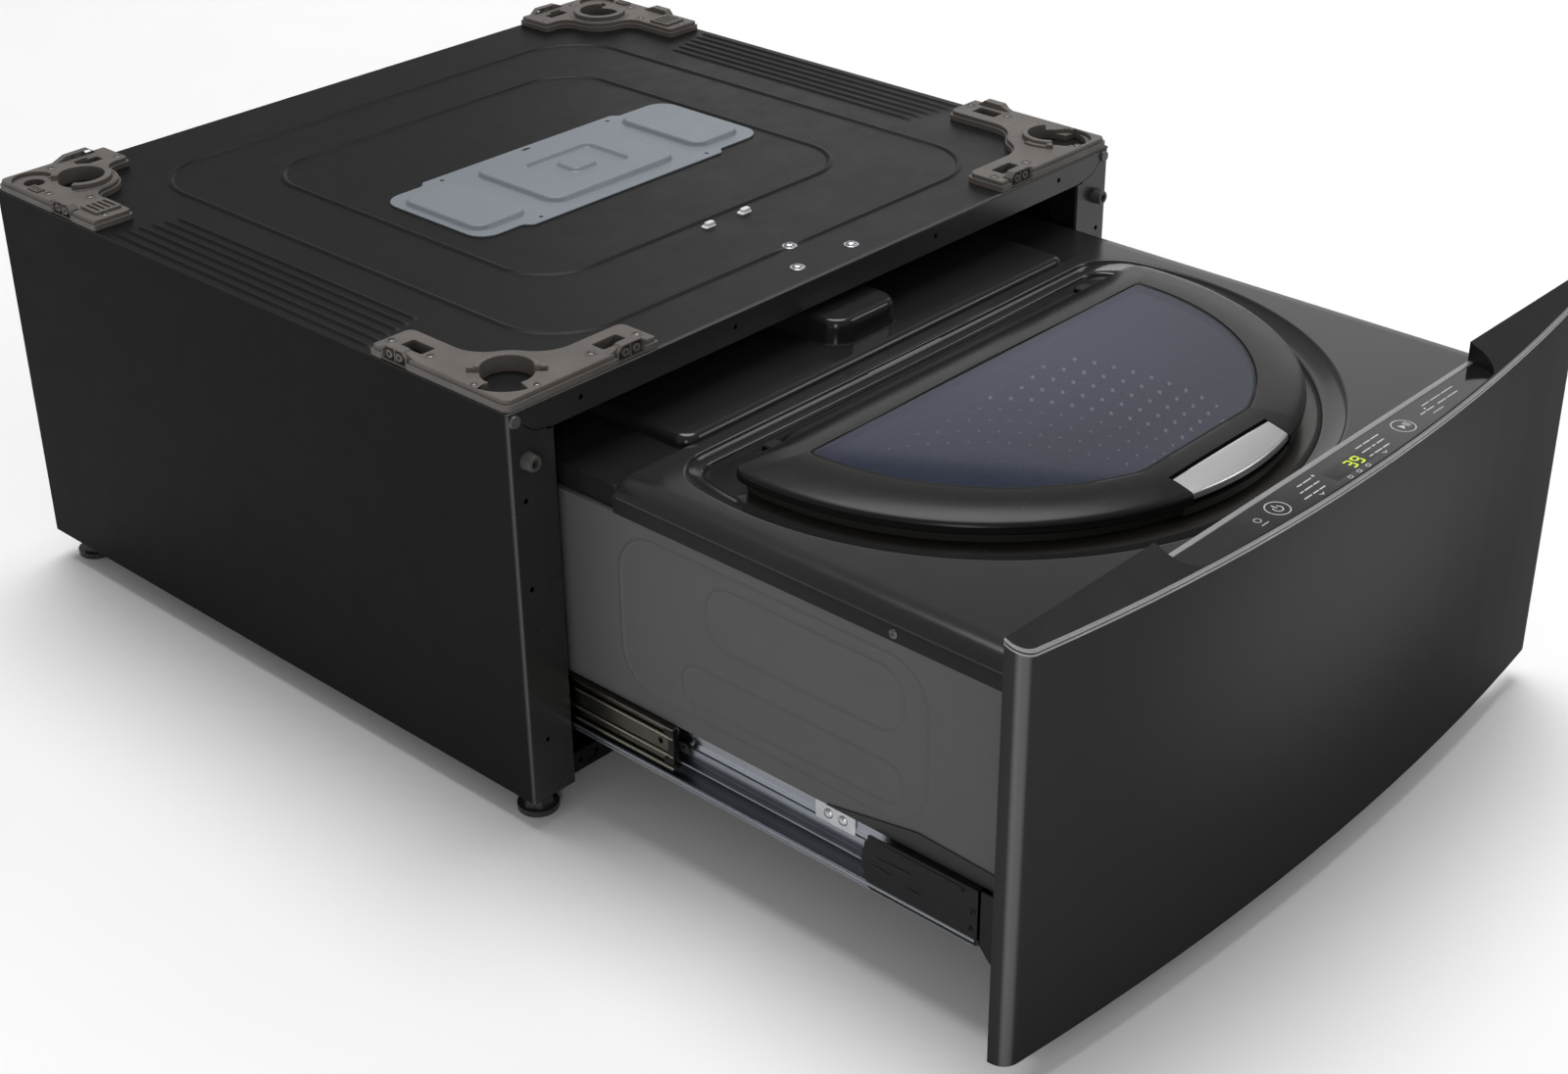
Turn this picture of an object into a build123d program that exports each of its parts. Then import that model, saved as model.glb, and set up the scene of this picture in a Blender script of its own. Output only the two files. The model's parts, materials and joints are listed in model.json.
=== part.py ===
from build123d import *
import os
from math import cos, sin, pi, radians

os.makedirs("parts", exist_ok=True)

# ---------------------------------------------------------------- driving dimensions (mm)
# Frame: +Z up, origin on the floor at the centre of the bounding box with the
# drawer pulled out, X to the right, front of the appliance towards -Y.
cab_w = 686.0            # cabinet width
cab_d = 630.0            # cabinet depth
foot_h = 24.0            # floor to cabinet underside
cab_h = 322.0            # cabinet body height
sheet = 1.2              # cabinet sheet thickness
base_t = 3.0             # cabinet base pan thickness
drawer_out = 425.0       # cabinet front to the back of the front panel, drawer pulled out
travel = 399.0           # drawer travel
FY = -89.0               # cabinet front plane
HX = cab_w / 2
BY = FY + cab_d          # cabinet back plane
ZB = foot_h
ZT = foot_h + cab_h
DY = FY - drawer_out     # back plane of the front panel
flange = 42.0            # width of the side front flanges
open_x = HX - flange     # half width of the drawer opening
top_flange = 23.0        # height of the top front flange
ret = 28.0               # depth of the flange return

bracket_t = 8.5          # corner bracket plate
bracket_arm = 145.0
bracket_w = 38.5
socket_u, socket_v = 34.0, 37.0   # front foot socket centre from the cabinet edges
socket_r = 19.0
rear_u, rear_v = 48.0, 53.0       # rear foot socket centre from the cabinet edges
rear_r = 19.0

foot_x = HX - 23.0       # levelling foot position
foot_in = 23.0
stem_r = 5.0
stem_hole_r = 5.06

side_x = 294.0           # drawer side, outer face
pan_x = 286.5            # drawer base pan, outer face
rear_y = FY + 200.0      # drawer rear plane
pan_z = 64.0
side_z0, side_z1 = 116.0, 268.5
deck_z = 292.0           # top cover, flat top
recess_floor = 272.0
recess_r, recess_cy = 263.0, FY - 141.0
tub_cy = FY - 150.0      # axis of tub, basket and pulsator
tub_r = 238.0
basket_r = 222.0
lid_r, lid_cy, lid_back = 239.0, FY - 134.4, FY - 106.0
glass_r, glass_cy = 193.0, FY - 145.0
glass_back, glass_front = FY - 140.0, FY - 327.0
hinge_y, hinge_z = FY - 97.0, 288.0
handle_y, handle_z = FY - 348.0, 301.0
load_r, load_cy, load_back = 196.0, FY - 145.0, FY - 116.0

panel_z0 = 27.0
panel_side_y = FY - 439.5     # bow at the panel's ends
panel_apex_y = FY - 461.5     # bow at the middle
cap_back = 344.6              # cap plane at the back edge
cap_front = 329.2             # cap plane at the bow's apex
cap_slope = (cap_back - cap_front) / 36.5
cap_under = 320.5             # underside of the cap
cap_floor = 327.5             # level floor under the controls

made = []


def above(drop):
    """Side view of everything over the sloping cap plane lowered by drop."""
    with BuildSketch(Plane.YZ) as s:
        with BuildLine():
            Polyline(
                (DY + 20, cap_back + 20 * cap_slope - drop), (DY - 60, cap_back - 60 * cap_slope - drop),
                (DY - 60, 400), (DY + 20, 400), (DY + 20, cap_back + 20 * cap_slope - drop),
            )
        make_face()
    return s.sketch


def below(drop):
    """Side view of everything under the sloping cap plane lowered by drop."""
    with BuildSketch(Plane.YZ) as s:
        with BuildLine():
            Polyline(
                (DY + 20, cap_back + 20 * cap_slope - drop), (DY - 60, cap_back - 60 * cap_slope - drop),
                (DY - 60, 250), (DY + 20, 250), (DY + 20, cap_back + 20 * cap_slope - drop),
            )
        make_face()
    return s.sketch


def control_shape(z, inset, half_w):
    """Plan of the control area: bowed front with rounded front corners."""
    yf = panel_apex_y + (panel_side_y - panel_apex_y) * (half_w / HX) ** 2 + inset
    with BuildSketch(Plane.XY.offset(z)) as s:
        with BuildLine():
            Line((-half_w, DY + 5), (-half_w, yf))
            ThreePointArc((-half_w, yf), (0, panel_apex_y + inset), (half_w, yf))
            Line((half_w, yf), (half_w, DY + 5))
            Line((half_w, DY + 5), (-half_w, DY + 5))
        make_face()
        fillet(s.vertices().group_by(Axis.Y)[0], 20)
    return s.sketch


def keep(part, name):
    part.label = name
    made.append((part, name))


def d_shape(z, r, cy, back, corner=0.0, front=None):
    """Disc cut straight at the back, and at the front if given."""
    with BuildSketch(Plane.XY.offset(z)) as s:
        with Locations((0, cy)):
            Circle(r)
        with Locations((0, back + 500)):
            Rectangle(1600, 1000, mode=Mode.SUBTRACT)
        if front is not None:
            with Locations((0, front - 500)):
                Rectangle(1600, 1000, mode=Mode.SUBTRACT)
        if corner:
            fillet(s.vertices().group_by(Axis.Y)[-1], corner)
    return s.sketch


def bow(z, inset, back_y, half_w=HX, corner=14.0):
    """Plan of the bowed front: straight back, bowed front, rounded ends."""
    w = half_w - inset
    with BuildSketch(Plane.XY.offset(z)) as s:
        with BuildLine():
            Line((-w, back_y), (-w, panel_side_y + inset))
            ThreePointArc((-w, panel_side_y + inset), (0, panel_apex_y + inset), (w, panel_side_y + inset))
            Line((w, panel_side_y + inset), (w, back_y))
            Line((w, back_y), (-w, back_y))
        make_face()
        front = s.vertices().group_by(Axis.Y)[0]
        fillet(front, max(corner - inset, 1.0))
    return s.sketch


# ================================================================ cabinet
# side panel: outer sheet, front flange and the return behind it
with BuildPart() as side_panel_left:
    with BuildSketch(Plane.XY.offset(ZB)):
        with BuildLine():
            Polyline(
                (-HX, FY), (-open_x, FY), (-open_x, FY + ret), (-open_x - sheet, FY + ret),
                (-open_x - sheet, FY + sheet), (-HX + sheet, FY + sheet),
                (-HX + sheet, BY), (-HX, BY), (-HX, FY),
            )
        make_face()
    extrude(amount=cab_h - sheet)
    # mitred corner that the top flange closes
    with BuildSketch(Plane.XZ.offset(-FY - sheet)):
        with BuildLine():
            Polyline(
                (-HX + sheet + 0.2, ZT + 1), (-HX + sheet + 0.2, ZT - sheet - 1), (-321, ZT - 20),
                (-302.6, ZT - top_flange - 0.5), (-300, ZT - top_flange - 0.5), (-300, ZT + 1),
                (-HX + sheet + 0.2, ZT + 1),
            )
        make_face()
    extrude(amount=sheet + 1, mode=Mode.SUBTRACT)
    # return stops above the base pan
    with Locations((-open_x - 2, FY + ret / 2 + sheet + 1, ZB)):
        Box(10, ret + 2, 19.2, mode=Mode.SUBTRACT)
    # return stops below the top flange
    with Locations((-open_x - 2, FY + ret / 2 + 1, ZT)):
        Box(10, ret + 4, 2 * top_flange + 2, mode=Mode.SUBTRACT)
    # fixing holes in the front flange
    with BuildSketch(Plane.XZ.offset(-FY - 2)):
        with Locations((-331, ZB + 251), (-331, ZB + 180), (-326, ZB + 50)):
            Circle(2.2)
    extrude(amount=4, mode=Mode.SUBTRACT)
keep(side_panel_left.part, "side_panel_left")

with BuildPart() as side_panel_right:
    mirror(side_panel_left.part, about=Plane.YZ)
keep(side_panel_right.part, "side_panel_right")

# top panel: sheet with pressed ridges and ribs, front flange folded down
with BuildPart() as top_panel:
    with Locations((0, (FY + BY) / 2, ZT - sheet)):
        Box(cab_w, cab_d, sheet, align=(Align.CENTER, Align.CENTER, Align.MIN))
    with BuildSketch(Plane.XZ.offset(-FY - sheet)):
        with BuildLine():
            Polyline(
                (-HX + sheet + 0.5, ZT - sheet), (-HX + sheet + 0.5, ZT - sheet - 0.7), (-320.6, ZT - 19.4),
                (-302, ZT - top_flange), (302, ZT - top_flange), (320.6, ZT - 19.4),
                (HX - sheet - 0.5, ZT - sheet - 0.7), (HX - sheet - 0.5, ZT - sheet), (-HX + sheet + 0.5, ZT - sheet),
            )
        make_face()
    extrude(amount=sheet)
    # outer and inner pressed ridge
    for hw, y0, y1, rr in ((250.0, 52.0, 566.0, 62.0), (180.0, 140.0, 499.0, 52.0)):
        with BuildSketch(Plane.XY.offset(ZT)):
            with Locations((0, FY + (y0 + y1) / 2)):
                RectangleRounded(2 * hw, y1 - y0, rr)
                RectangleRounded(2 * hw - 12, y1 - y0 - 12, rr - 6, mode=Mode.SUBTRACT)
            with Locations((1, FY + 56)):
                Circle(8, mode=Mode.SUBTRACT)
        extrude(amount=1.5, taper=20)
    # straight ribs along both sides
    with BuildSketch(Plane.XY.offset(ZT)):
        for sx in (-1, 1):
            for i in range(6):
                with Locations((sx * (282 + 10.5 * i), FY + 315)):
                    SlotOverall(322 - 5 * (5 - i), 5.5, rotation=90)
    extrude(amount=1.5, taper=20)
    # holes in the front flange
    with BuildSketch(Plane.XZ.offset(-FY - 2)):
        with Locations((-275, ZT - 11), (-119, ZT - 11), (112, ZT - 11), (274, ZT - 11)):
            Circle(2.2)
    extrude(amount=4, mode=Mode.SUBTRACT)
keep(top_panel.part, "top_panel")

# rear panel with its outlets
with BuildPart() as rear_panel:
    with Locations((0, BY, ZB + 8)):
        Box(cab_w - 2 * sheet, sheet, cab_h - 8 - sheet, align=(Align.CENTER, Align.MAX, Align.MIN))
    with BuildSketch(Plane.XZ.offset(-BY - 1)):
        with Locations((-222, 250), (-178, 250)):
            Circle(13.0)
        with Locations((-110, 120)):
            Circle(14.0)
        with Locations((230, 250)):
            Circle(8.0)
        with Locations((60, 240), (90, 240), (120, 240)):
            SlotOverall(60, 6, rotation=90)
    extrude(amount=4, mode=Mode.SUBTRACT)
keep(rear_panel.part, "rear_panel")

# base pan with four threaded bosses
with BuildPart() as base_pan:
    with BuildSketch(Plane.XY.offset(30)):
        with Locations((0, (FY + 2.7 + BY - sheet) / 2)):
            Rectangle(cab_w - 2 * sheet, BY - sheet - FY - 2.7)
    extrude(amount=base_t)
    with BuildSketch(Plane.XY.offset(ZB)):
        with Locations((-foot_x, FY + foot_in), (foot_x, FY + foot_in), (-foot_x, BY - foot_in), (foot_x, BY - foot_in)):
            Circle(15)
    extrude(amount=6)
    # stiffening beads
    with BuildSketch(Plane.XY.offset(30 + base_t)):
        with Locations((-180, 226), (-60, 226), (60, 226), (180, 226)):
            SlotOverall(420, 26, rotation=90)
    extrude(amount=3, taper=30)
    with BuildSketch(Plane.XY.offset(ZB - 1)):
        with Locations((-foot_x, FY + foot_in), (foot_x, FY + foot_in), (-foot_x, BY - foot_in), (foot_x, BY - foot_in)):
            Circle(stem_hole_r)
    extrude(amount=20, mode=Mode.SUBTRACT)
keep(base_pan.part, "base_pan")

# bottom front rail, an L in front of and over the base pan's front edge
with BuildPart() as front_bottom_rail:
    with Locations((0, FY + sheet, 30)):
        Box(2 * open_x - 0.4, 1.5, 17.5, align=(Align.CENTER, Align.MIN, Align.MIN))
    with Locations((0, FY + sheet + 1.5, 30 + base_t)):
        Box(2 * open_x - 40, 22, 1.5, align=(Align.CENTER, Align.MIN, Align.MIN))
    with BuildSketch(Plane.XZ.offset(-FY)):
        with Locations((-294, 39), (-277, 39), (294, 39), (277, 39)):
            Circle(2.2)
        with Locations((0, 40)):
            SlotOverall(60, 6)
    extrude(amount=-6, mode=Mode.SUBTRACT)
keep(front_bottom_rail.part, "front_bottom_rail")

# corner bracket, drawn for the front left corner: u along X, v along Y
bx, by = -HX, FY
with BuildPart() as corner_bracket_front_left:
    with BuildSketch(Plane.XY.offset(ZT)) as s_br:
        with Locations((bx + bracket_arm / 2 + 0.5, by + bracket_w / 2 + 0.5)):
            Rectangle(bracket_arm, bracket_w)
        with Locations((bx + bracket_w / 2 + 0.5, by + bracket_arm / 2 + 0.5)):
            Rectangle(bracket_w, bracket_arm)
        with Locations((bx + socket_u + 1, by + socket_v + 1)):
            Circle(36)
        with Locations((bx - 49.5, by + 60)):
            Rectangle(100, 400, mode=Mode.SUBTRACT)
        with Locations((bx + 60, by - 49.5)):
            Rectangle(400, 100, mode=Mode.SUBTRACT)
    # plate
    extrude(amount=bracket_t)
    # half collar round the socket, on the side away from the corner
    with BuildSketch(Plane.XY.offset(ZT + bracket_t)):
        with Locations((bx + socket_u, by + socket_v)):
            Circle(24.5)
        with Locations((bx + socket_u - 35.4, by + socket_v - 35.4)):
            Rectangle(200, 100, rotation=-45, mode=Mode.SUBTRACT)
    extrude(amount=4.5)
    # lugs beside the rectangular openings
    with BuildSketch(Plane.XZ.offset(-by - 1)):
        with BuildLine():
            Polyline((bx + 98, ZT + bracket_t), (bx + 112, ZT + 13), (bx + 130, ZT + 13), (bx + 132, ZT + bracket_t), (bx + 98, ZT + bracket_t))
        make_face()
    extrude(amount=-7)
    with BuildSketch(Plane.YZ.offset(bx + 1)):
        with BuildLine():
            Polyline((by + 98, ZT + bracket_t), (by + 112, ZT + 13), (by + 130, ZT + 13), (by + 132, ZT + bracket_t), (by + 98, ZT + bracket_t))
        make_face()
    extrude(amount=7)
    # socket, rectangular openings, lug holes
    with BuildSketch(Plane.XY.offset(ZT - 1)):
        with Locations((bx + socket_u, by + socket_v)):
            Circle(socket_r)
        # the socket widens towards the corner
        with BuildLine():
            lobe = CenterArc((bx + socket_u, by + socket_v), 30.5, 188, 69)
            Line(lobe @ 1, (bx + socket_u, by + socket_v))
            Line((bx + socket_u, by + socket_v), lobe @ 0)
        make_face()
        with Locations((bx + 116, by + 20)):
            Rectangle(24, 13)
        with Locations((bx + 20, by + 116)):
            Rectangle(13, 24)
    extrude(amount=20, mode=Mode.SUBTRACT)
    with BuildSketch(Plane.XZ.offset(-by + 1)):
        with Locations((bx + 115, ZT + 7.5), (bx + 125, ZT + 7.5)):
            Circle(2.4)
    extrude(amount=-16, mode=Mode.SUBTRACT)
    with BuildSketch(Plane.YZ.offset(bx - 1)):
        with Locations((by + 115, ZT + 7.5), (by + 125, ZT + 7.5)):
            Circle(2.4)
    extrude(amount=16, mode=Mode.SUBTRACT)
    # screw holes
    with BuildSketch(Plane.XY.offset(ZT - 1)):
        with Locations((bx + 94, by + 16), (bx + 138, by + 15), (bx + 16, by + 97), (bx + 15, by + 138), (bx + 35, by + 7.5), (bx + 6.0, by + 39.5)):
            Circle(2.0)
    extrude(amount=20, mode=Mode.SUBTRACT)
keep(corner_bracket_front_left.part, "corner_bracket_front_left")

with BuildPart() as corner_bracket_front_right:
    mirror(corner_bracket_front_left.part, about=Plane.YZ)
keep(corner_bracket_front_right.part, "corner_bracket_front_right")

# rear brackets: a shorter arm along the back, a narrower socket with its own bulge
rx, ry = -HX, BY
with BuildPart() as corner_bracket_rear_left:
    with BuildSketch(Plane.XY.offset(ZT)) as s_rb:
        with Locations((rx + 0.5 + 104.5 / 2, ry - 0.5 - 38.0 / 2)):
            Rectangle(104.5, 38)
        with Locations((rx + 0.5 + 38.0 / 2, ry - 0.5 - 140.5 / 2)):
            Rectangle(38, 140.5)
        with Locations((rx + rear_u, ry - rear_v)):
            Circle(31)
    extrude(amount=bracket_t)
    # collar open towards the cabinet side
    with BuildSketch(Plane.XY.offset(ZT + bracket_t)):
        with Locations((rx + rear_u, ry - rear_v)):
            Circle(24.5)
        with Locations((rx + rear_u - 40, ry - rear_v)):
            Rectangle(60, 30, mode=Mode.SUBTRACT)
    extrude(amount=4.5)
    # lug along the back edge, lug along the side edge
    with BuildSketch(Plane.XZ.offset(-ry + 1)):
        with BuildLine():
            Polyline((rx + 52, ZT + bracket_t), (rx + 64, ZT + 13), (rx + 86, ZT + 13), (rx + 92, ZT + bracket_t), (rx + 52, ZT + bracket_t))
        make_face()
    extrude(amount=7)
    with BuildSketch(Plane.YZ.offset(rx + 1)):
        with BuildLine():
            Polyline((ry - 76, ZT + bracket_t), (ry - 84, ZT + 13), (ry - 102, ZT + 13), (ry - 106, ZT + bracket_t), (ry - 76, ZT + bracket_t))
        make_face()
    extrude(amount=7)
    # slotted block on the side arm
    with BuildSketch(Plane.XY.offset(ZT + bracket_t)):
        with Locations((rx + 22, ry - 116)):
            RectangleRounded(24, 24, 2)
            for i in range(4):
                with Locations((rx + 14.5 + 5 * i, ry - 116)):
                    SlotOverall(18, 2.4, rotation=90, mode=Mode.SUBTRACT)
    extrude(amount=2.0)
    # socket, corner hole, rectangular opening
    with BuildSketch(Plane.XY.offset(ZT - 1)):
        with Locations((rx + rear_u, ry - rear_v)):
            Circle(rear_r)
        with Locations((rx + 22, ry - 22)):
            Circle(8)
        with Locations((rx + 76, ry - 21)):
            Rectangle(22, 10)
    extrude(amount=20, mode=Mode.SUBTRACT)
    # lug holes
    with BuildSketch(Plane.XZ.offset(-ry - 1)):
        with Locations((rx + 70, ZT + 7.5), (rx + 80, ZT + 7.5)):
            Circle(2.4)
    extrude(amount=16, mode=Mode.SUBTRACT)
    with BuildSketch(Plane.YZ.offset(rx - 1)):
        with Locations((ry - 88, ZT + 7.5), (ry - 98, ZT + 7.5)):
            Circle(2.4)
    extrude(amount=16, mode=Mode.SUBTRACT)
    # screw holes
    with BuildSketch(Plane.XY.offset(ZT - 1)):
        with Locations((rx + 98, ry - 30), (rx + 45, ry - 12), (rx + 12, ry - 60), (rx + 16, ry - 134), (rx + 30, ry - 92)):
            Circle(2.0)
    extrude(amount=20, mode=Mode.SUBTRACT)
keep(corner_bracket_rear_left.part, "corner_bracket_rear_left")

with BuildPart() as corner_bracket_rear_right:
    mirror(corner_bracket_rear_left.part, about=Plane.YZ)
keep(corner_bracket_rear_right.part, "corner_bracket_rear_right")

# bracket screws: pan heads with a shank that fills its hole
screw_uv = [(94, 16), (138, 15), (16, 97), (15, 138), (35, 7.5), (6.0, 39.5)]
rear_screw_uv = [(98, 30), (45, 12), (12, 60), (16, 134), (30, 92)]
screw_at = []
for sx in (-1, 1):
    for u, v in screw_uv:
        screw_at.append((sx * (HX - u), FY + v))
    for u, v in rear_screw_uv:
        screw_at.append((sx * (HX - u), BY - v))
with BuildPart() as bracket_screws:
    with BuildSketch(Plane.XY.offset(ZT)):
        with Locations(*screw_at):
            Circle(2.0)
    extrude(amount=bracket_t)
    with BuildSketch(Plane.XY.offset(ZT + bracket_t)):
        with Locations(*screw_at):
            Circle(3.6)
    extrude(amount=1.3, taper=25)
keep(bracket_screws.part, "bracket_screws")

# access cover: flat plate, wider between its ends, with three raised pads;
# the middle pad has a pressed-in rectangle with a knob
acc_x, acc_y = 9.5, FY + 305.0
with BuildPart() as access_cover:
    with BuildSketch(Plane.XY.offset(ZT)):
        with Locations((acc_x, acc_y)):
            RectangleRounded(322, 124, 18)
        with Locations((acc_x - 4.5, acc_y - 0.5)):
            RectangleRounded(216, 137, 3)
        for px, py in ((-98, 60), (92, 60), (92.5, -61), (-97.5, -61)):
            with Locations((acc_x + px, acc_y + py)):
                Circle(1.8, mode=Mode.SUBTRACT)
        with Locations((acc_x - 2.5, acc_y + 62)):
            SlotOverall(9, 3, mode=Mode.SUBTRACT)
    extrude(amount=1.4)
    with BuildSketch(Plane.XY.offset(ZT + 1.4)):
        with Locations((acc_x - 126.5, acc_y - 2), (acc_x + 122.0, acc_y + 1)):
            RectangleRounded(58, 98, 14)
        with Locations((acc_x - 3.0, acc_y - 1)):
            RectangleRounded(143, 104, 14)
    extrude(amount=2.6, taper=35)
    with BuildSketch(Plane.XY.offset(ZT + 4.1)):
        with Locations((acc_x - 0.5, acc_y)):
            RectangleRounded(72, 52, 6)
            RectangleRounded(27, 25, 8, mode=Mode.SUBTRACT)
    extrude(amount=-1.8, mode=Mode.SUBTRACT)
keep(access_cover.part, "access_cover")

# screws and clips in the top panel
with BuildPart() as top_screws:
    with BuildSketch(Plane.XY.offset(ZT)):
        with Locations((1, FY + 56), (35, FY + 22), (-26, FY + 23)):
            Circle(5.0)
    extrude(amount=2.6, taper=28)
keep(top_screws.part, "top_screws")

with BuildPart() as top_clips:
    with BuildSketch(Plane.XY.offset(ZT)):
        with Locations((-12, FY + 131), (28, FY + 130)):
            RectangleRounded(12, 7, 2)
    extrude(amount=4.0, taper=12)
keep(top_clips.part, "top_clips")

# corner rivets and hollow spacer studs on the front flanges
with BuildPart() as corner_rivets:
    with BuildSketch(Plane.XZ.offset(-FY)):
        with Locations((-HX + 6.2, ZT - 7.5), (HX - 6.2, ZT - 7.5)):
            Circle(5.0)
    extrude(amount=1.8, taper=20)
keep(corner_rivets.part, "corner_rivets")

with BuildPart() as spacer_studs:
    with BuildSketch(Plane.XZ.offset(-FY)):
        with Locations((-327.5, ZB + 281.5), (327.5, ZB + 281.5)):
            Circle(8.0)
    extrude(amount=9, taper=7)
    with BuildSketch(Plane.XZ.offset(-FY + 2)):
        with Locations((-327.5, ZB + 281.5), (327.5, ZB + 281.5)):
            Circle(3.2)
    extrude(amount=10, mode=Mode.SUBTRACT)
keep(spacer_studs.part, "spacer_studs")

# levelling feet: rubber pad with a raised hexagon, threaded stem
feet = {
    "levelling_foot_front_left": (-foot_x, FY + foot_in),
    "levelling_foot_front_right": (foot_x, FY + foot_in),
    "levelling_foot_rear_left": (-foot_x, BY - foot_in),
    "levelling_foot_rear_right": (foot_x, BY - foot_in),
}
for foot_name, (fx, fy) in feet.items():
    with BuildPart() as foot:
        with BuildSketch():
            with Locations((fx, fy)):
                Circle(16)
        extrude(amount=5.5)
        with BuildSketch(Plane.XY.offset(5.5)):
            with Locations((fx, fy)):
                RegularPolygon(13.0, 6)
        extrude(amount=6.0, taper=12)
        with BuildSketch(Plane.XY.offset(11)):
            with Locations((fx, fy)):
                Circle(stem_r)
        extrude(amount=36)
        chamfer(foot.faces().sort_by(Axis.Z)[0].edges(), 1.0)
    keep(foot.part, foot_name)

with BuildPart() as foot_locknuts:
    with BuildSketch(Plane.XY.offset(17.0)):
        with Locations(*feet.values()):
            RegularPolygon(9.8, 6)
            Circle(stem_hole_r, mode=Mode.SUBTRACT)
    extrude(amount=7.0)
keep(foot_locknuts.part, "foot_locknuts")

# slide, cabinet member: web with two races, top flange out to the side panel
cm_y0, cm_y1 = FY + 34.0, FY + 590.0
with BuildPart() as slide_cabinet_member_left:
    with BuildSketch(Plane.XZ.offset(-cm_y0)):
        with BuildLine():
            Polyline(
                (-HX + sheet, 117), (-303, 117), (-303, 109), (-297.6, 109), (-297.6, 107.5), (-303, 107.5),
                (-303, 87), (-297.6, 87), (-297.6, 85.5), (-303, 85.5), (-303, 80), (-304.5, 80),
                (-304.5, 115.5), (-HX + sheet + 1.5, 115.5), (-HX + sheet + 1.5, 92), (-HX + sheet, 92), (-HX + sheet, 117),
            )
        make_face()
    extrude(amount=-(cm_y1 - cm_y0))
    # the races start behind the place of the drawer's end cover
    with Locations((-303, cm_y0 - 1, 97)):
        Box(12, FY + 121 - cm_y0 + 1, 24.9, align=(Align.MIN, Align.MIN, Align.CENTER), mode=Mode.SUBTRACT)
keep(slide_cabinet_member_left.part, "slide_cabinet_member_left")

with BuildPart() as slide_cabinet_member_right:
    mirror(slide_cabinet_member_left.part, about=Plane.YZ)
keep(slide_cabinet_member_right.part, "slide_cabinet_member_right")

# slide, middle member: web with outward races and inward races
mm_y0, mm_y1 = FY - 103.0, FY + 362.0
with BuildPart() as slide_middle_member_left:
    with BuildSketch(Plane.XZ.offset(-mm_y0)):
        with BuildLine():
            Polyline(
                (-299.2, 79), (-289.3, 79), (-289.3, 80.5), (-294.7, 80.5), (-294.7, 114), (-286.9, 114),
                (-286.9, 115.5), (-299.2, 115.5), (-299.2, 114), (-296.2, 114), (-296.2, 80.5), (-299.2, 80.5), (-299.2, 79),
            )
        make_face()
    extrude(amount=-(mm_y1 - mm_y0))
    with BuildSketch(Plane.YZ.offset(-300)):
        with Locations((mm_y0 + 14, 99), (mm_y0 + 120, 99), (mm_y0 + 260, 99)):
            Circle(2.4)
    extrude(amount=8, mode=Mode.SUBTRACT)
keep(slide_middle_member_left.part, "slide_middle_member_left")

with BuildPart() as slide_middle_member_right:
    mirror(slide_middle_member_left.part, about=Plane.YZ)
keep(slide_middle_member_right.part, "slide_middle_member_right")

# water inlet valve: body inside the rear panel, two hose threads through it
with BuildPart() as water_inlet_valve:
    with Locations((-200, BY - sheet, 250)):
        Box(96, 26, 40, align=(Align.CENTER, Align.MAX, Align.CENTER))
    with BuildSketch(Plane.XZ.offset(-BY + sheet)):
        with Locations((-222, 250), (-178, 250)):
            Circle(13.0)
    extrude(amount=-(sheet + 10))
    with BuildSketch(Plane.XZ.offset(-BY - 10)):
        with Locations((-222, 250), (-178, 250)):
            Circle(9.0)
    extrude(amount=20, mode=Mode.SUBTRACT)
keep(water_inlet_valve.part, "water_inlet_valve")

# drain outlet: spigot through the rear panel
with BuildPart() as drain_outlet:
    with BuildSketch(Plane.XZ.offset(-BY + 24)):
        with Locations((-110, 120)):
            Circle(14.0)
    extrude(amount=-34)
    with BuildSketch(Plane.XZ.offset(-BY + sheet)):
        with Locations((-110, 120)):
            Circle(20.0)
    extrude(amount=4)
    with BuildSketch(Plane.XZ.offset(-BY - 10)):
        with Locations((-110, 120)):
            Circle(10.5)
    extrude(amount=28, mode=Mode.SUBTRACT)
keep(drain_outlet.part, "drain_outlet")

# cord gland on the rear panel
with BuildPart() as cord_gland:
    with BuildSketch(Plane.XZ.offset(-BY + 16)):
        with Locations((230, 250)):
            Circle(8.0)
    extrude(amount=-26)
    with BuildSketch(Plane.XZ.offset(-BY)):
        with Locations((230, 250)):
            RegularPolygon(12.0, 6)
    extrude(amount=-5)
    with BuildSketch(Plane.XZ.offset(-BY - 12)):
        with Locations((230, 250)):
            Circle(4.0)
    extrude(amount=40, mode=Mode.SUBTRACT)
keep(cord_gland.part, "cord_gland")

# ================================================================ drawer
# drawer side: sheet with flanges turned in at the bottom and the top
with BuildPart() as drawer_side_left:
    with BuildSketch(Plane.XZ.offset(-DY)):
        with BuildLine():
            Polyline(
                (-side_x, side_z0), (-pan_x, side_z0), (-pan_x, side_z0 + sheet), (-side_x + sheet, side_z0 + sheet),
                (-side_x + sheet, side_z1 - sheet), (-side_x + 14, side_z1 - sheet), (-side_x + 14, side_z1),
                (-side_x, side_z1), (-side_x, side_z0),
            )
        make_face()
    extrude(amount=-(rear_y - sheet - DY))
keep(drawer_side_left.part, "drawer_side_left")

with BuildPart() as drawer_side_right:
    mirror(drawer_side_left.part, about=Plane.YZ)
keep(drawer_side_right.part, "drawer_side_right")

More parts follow.
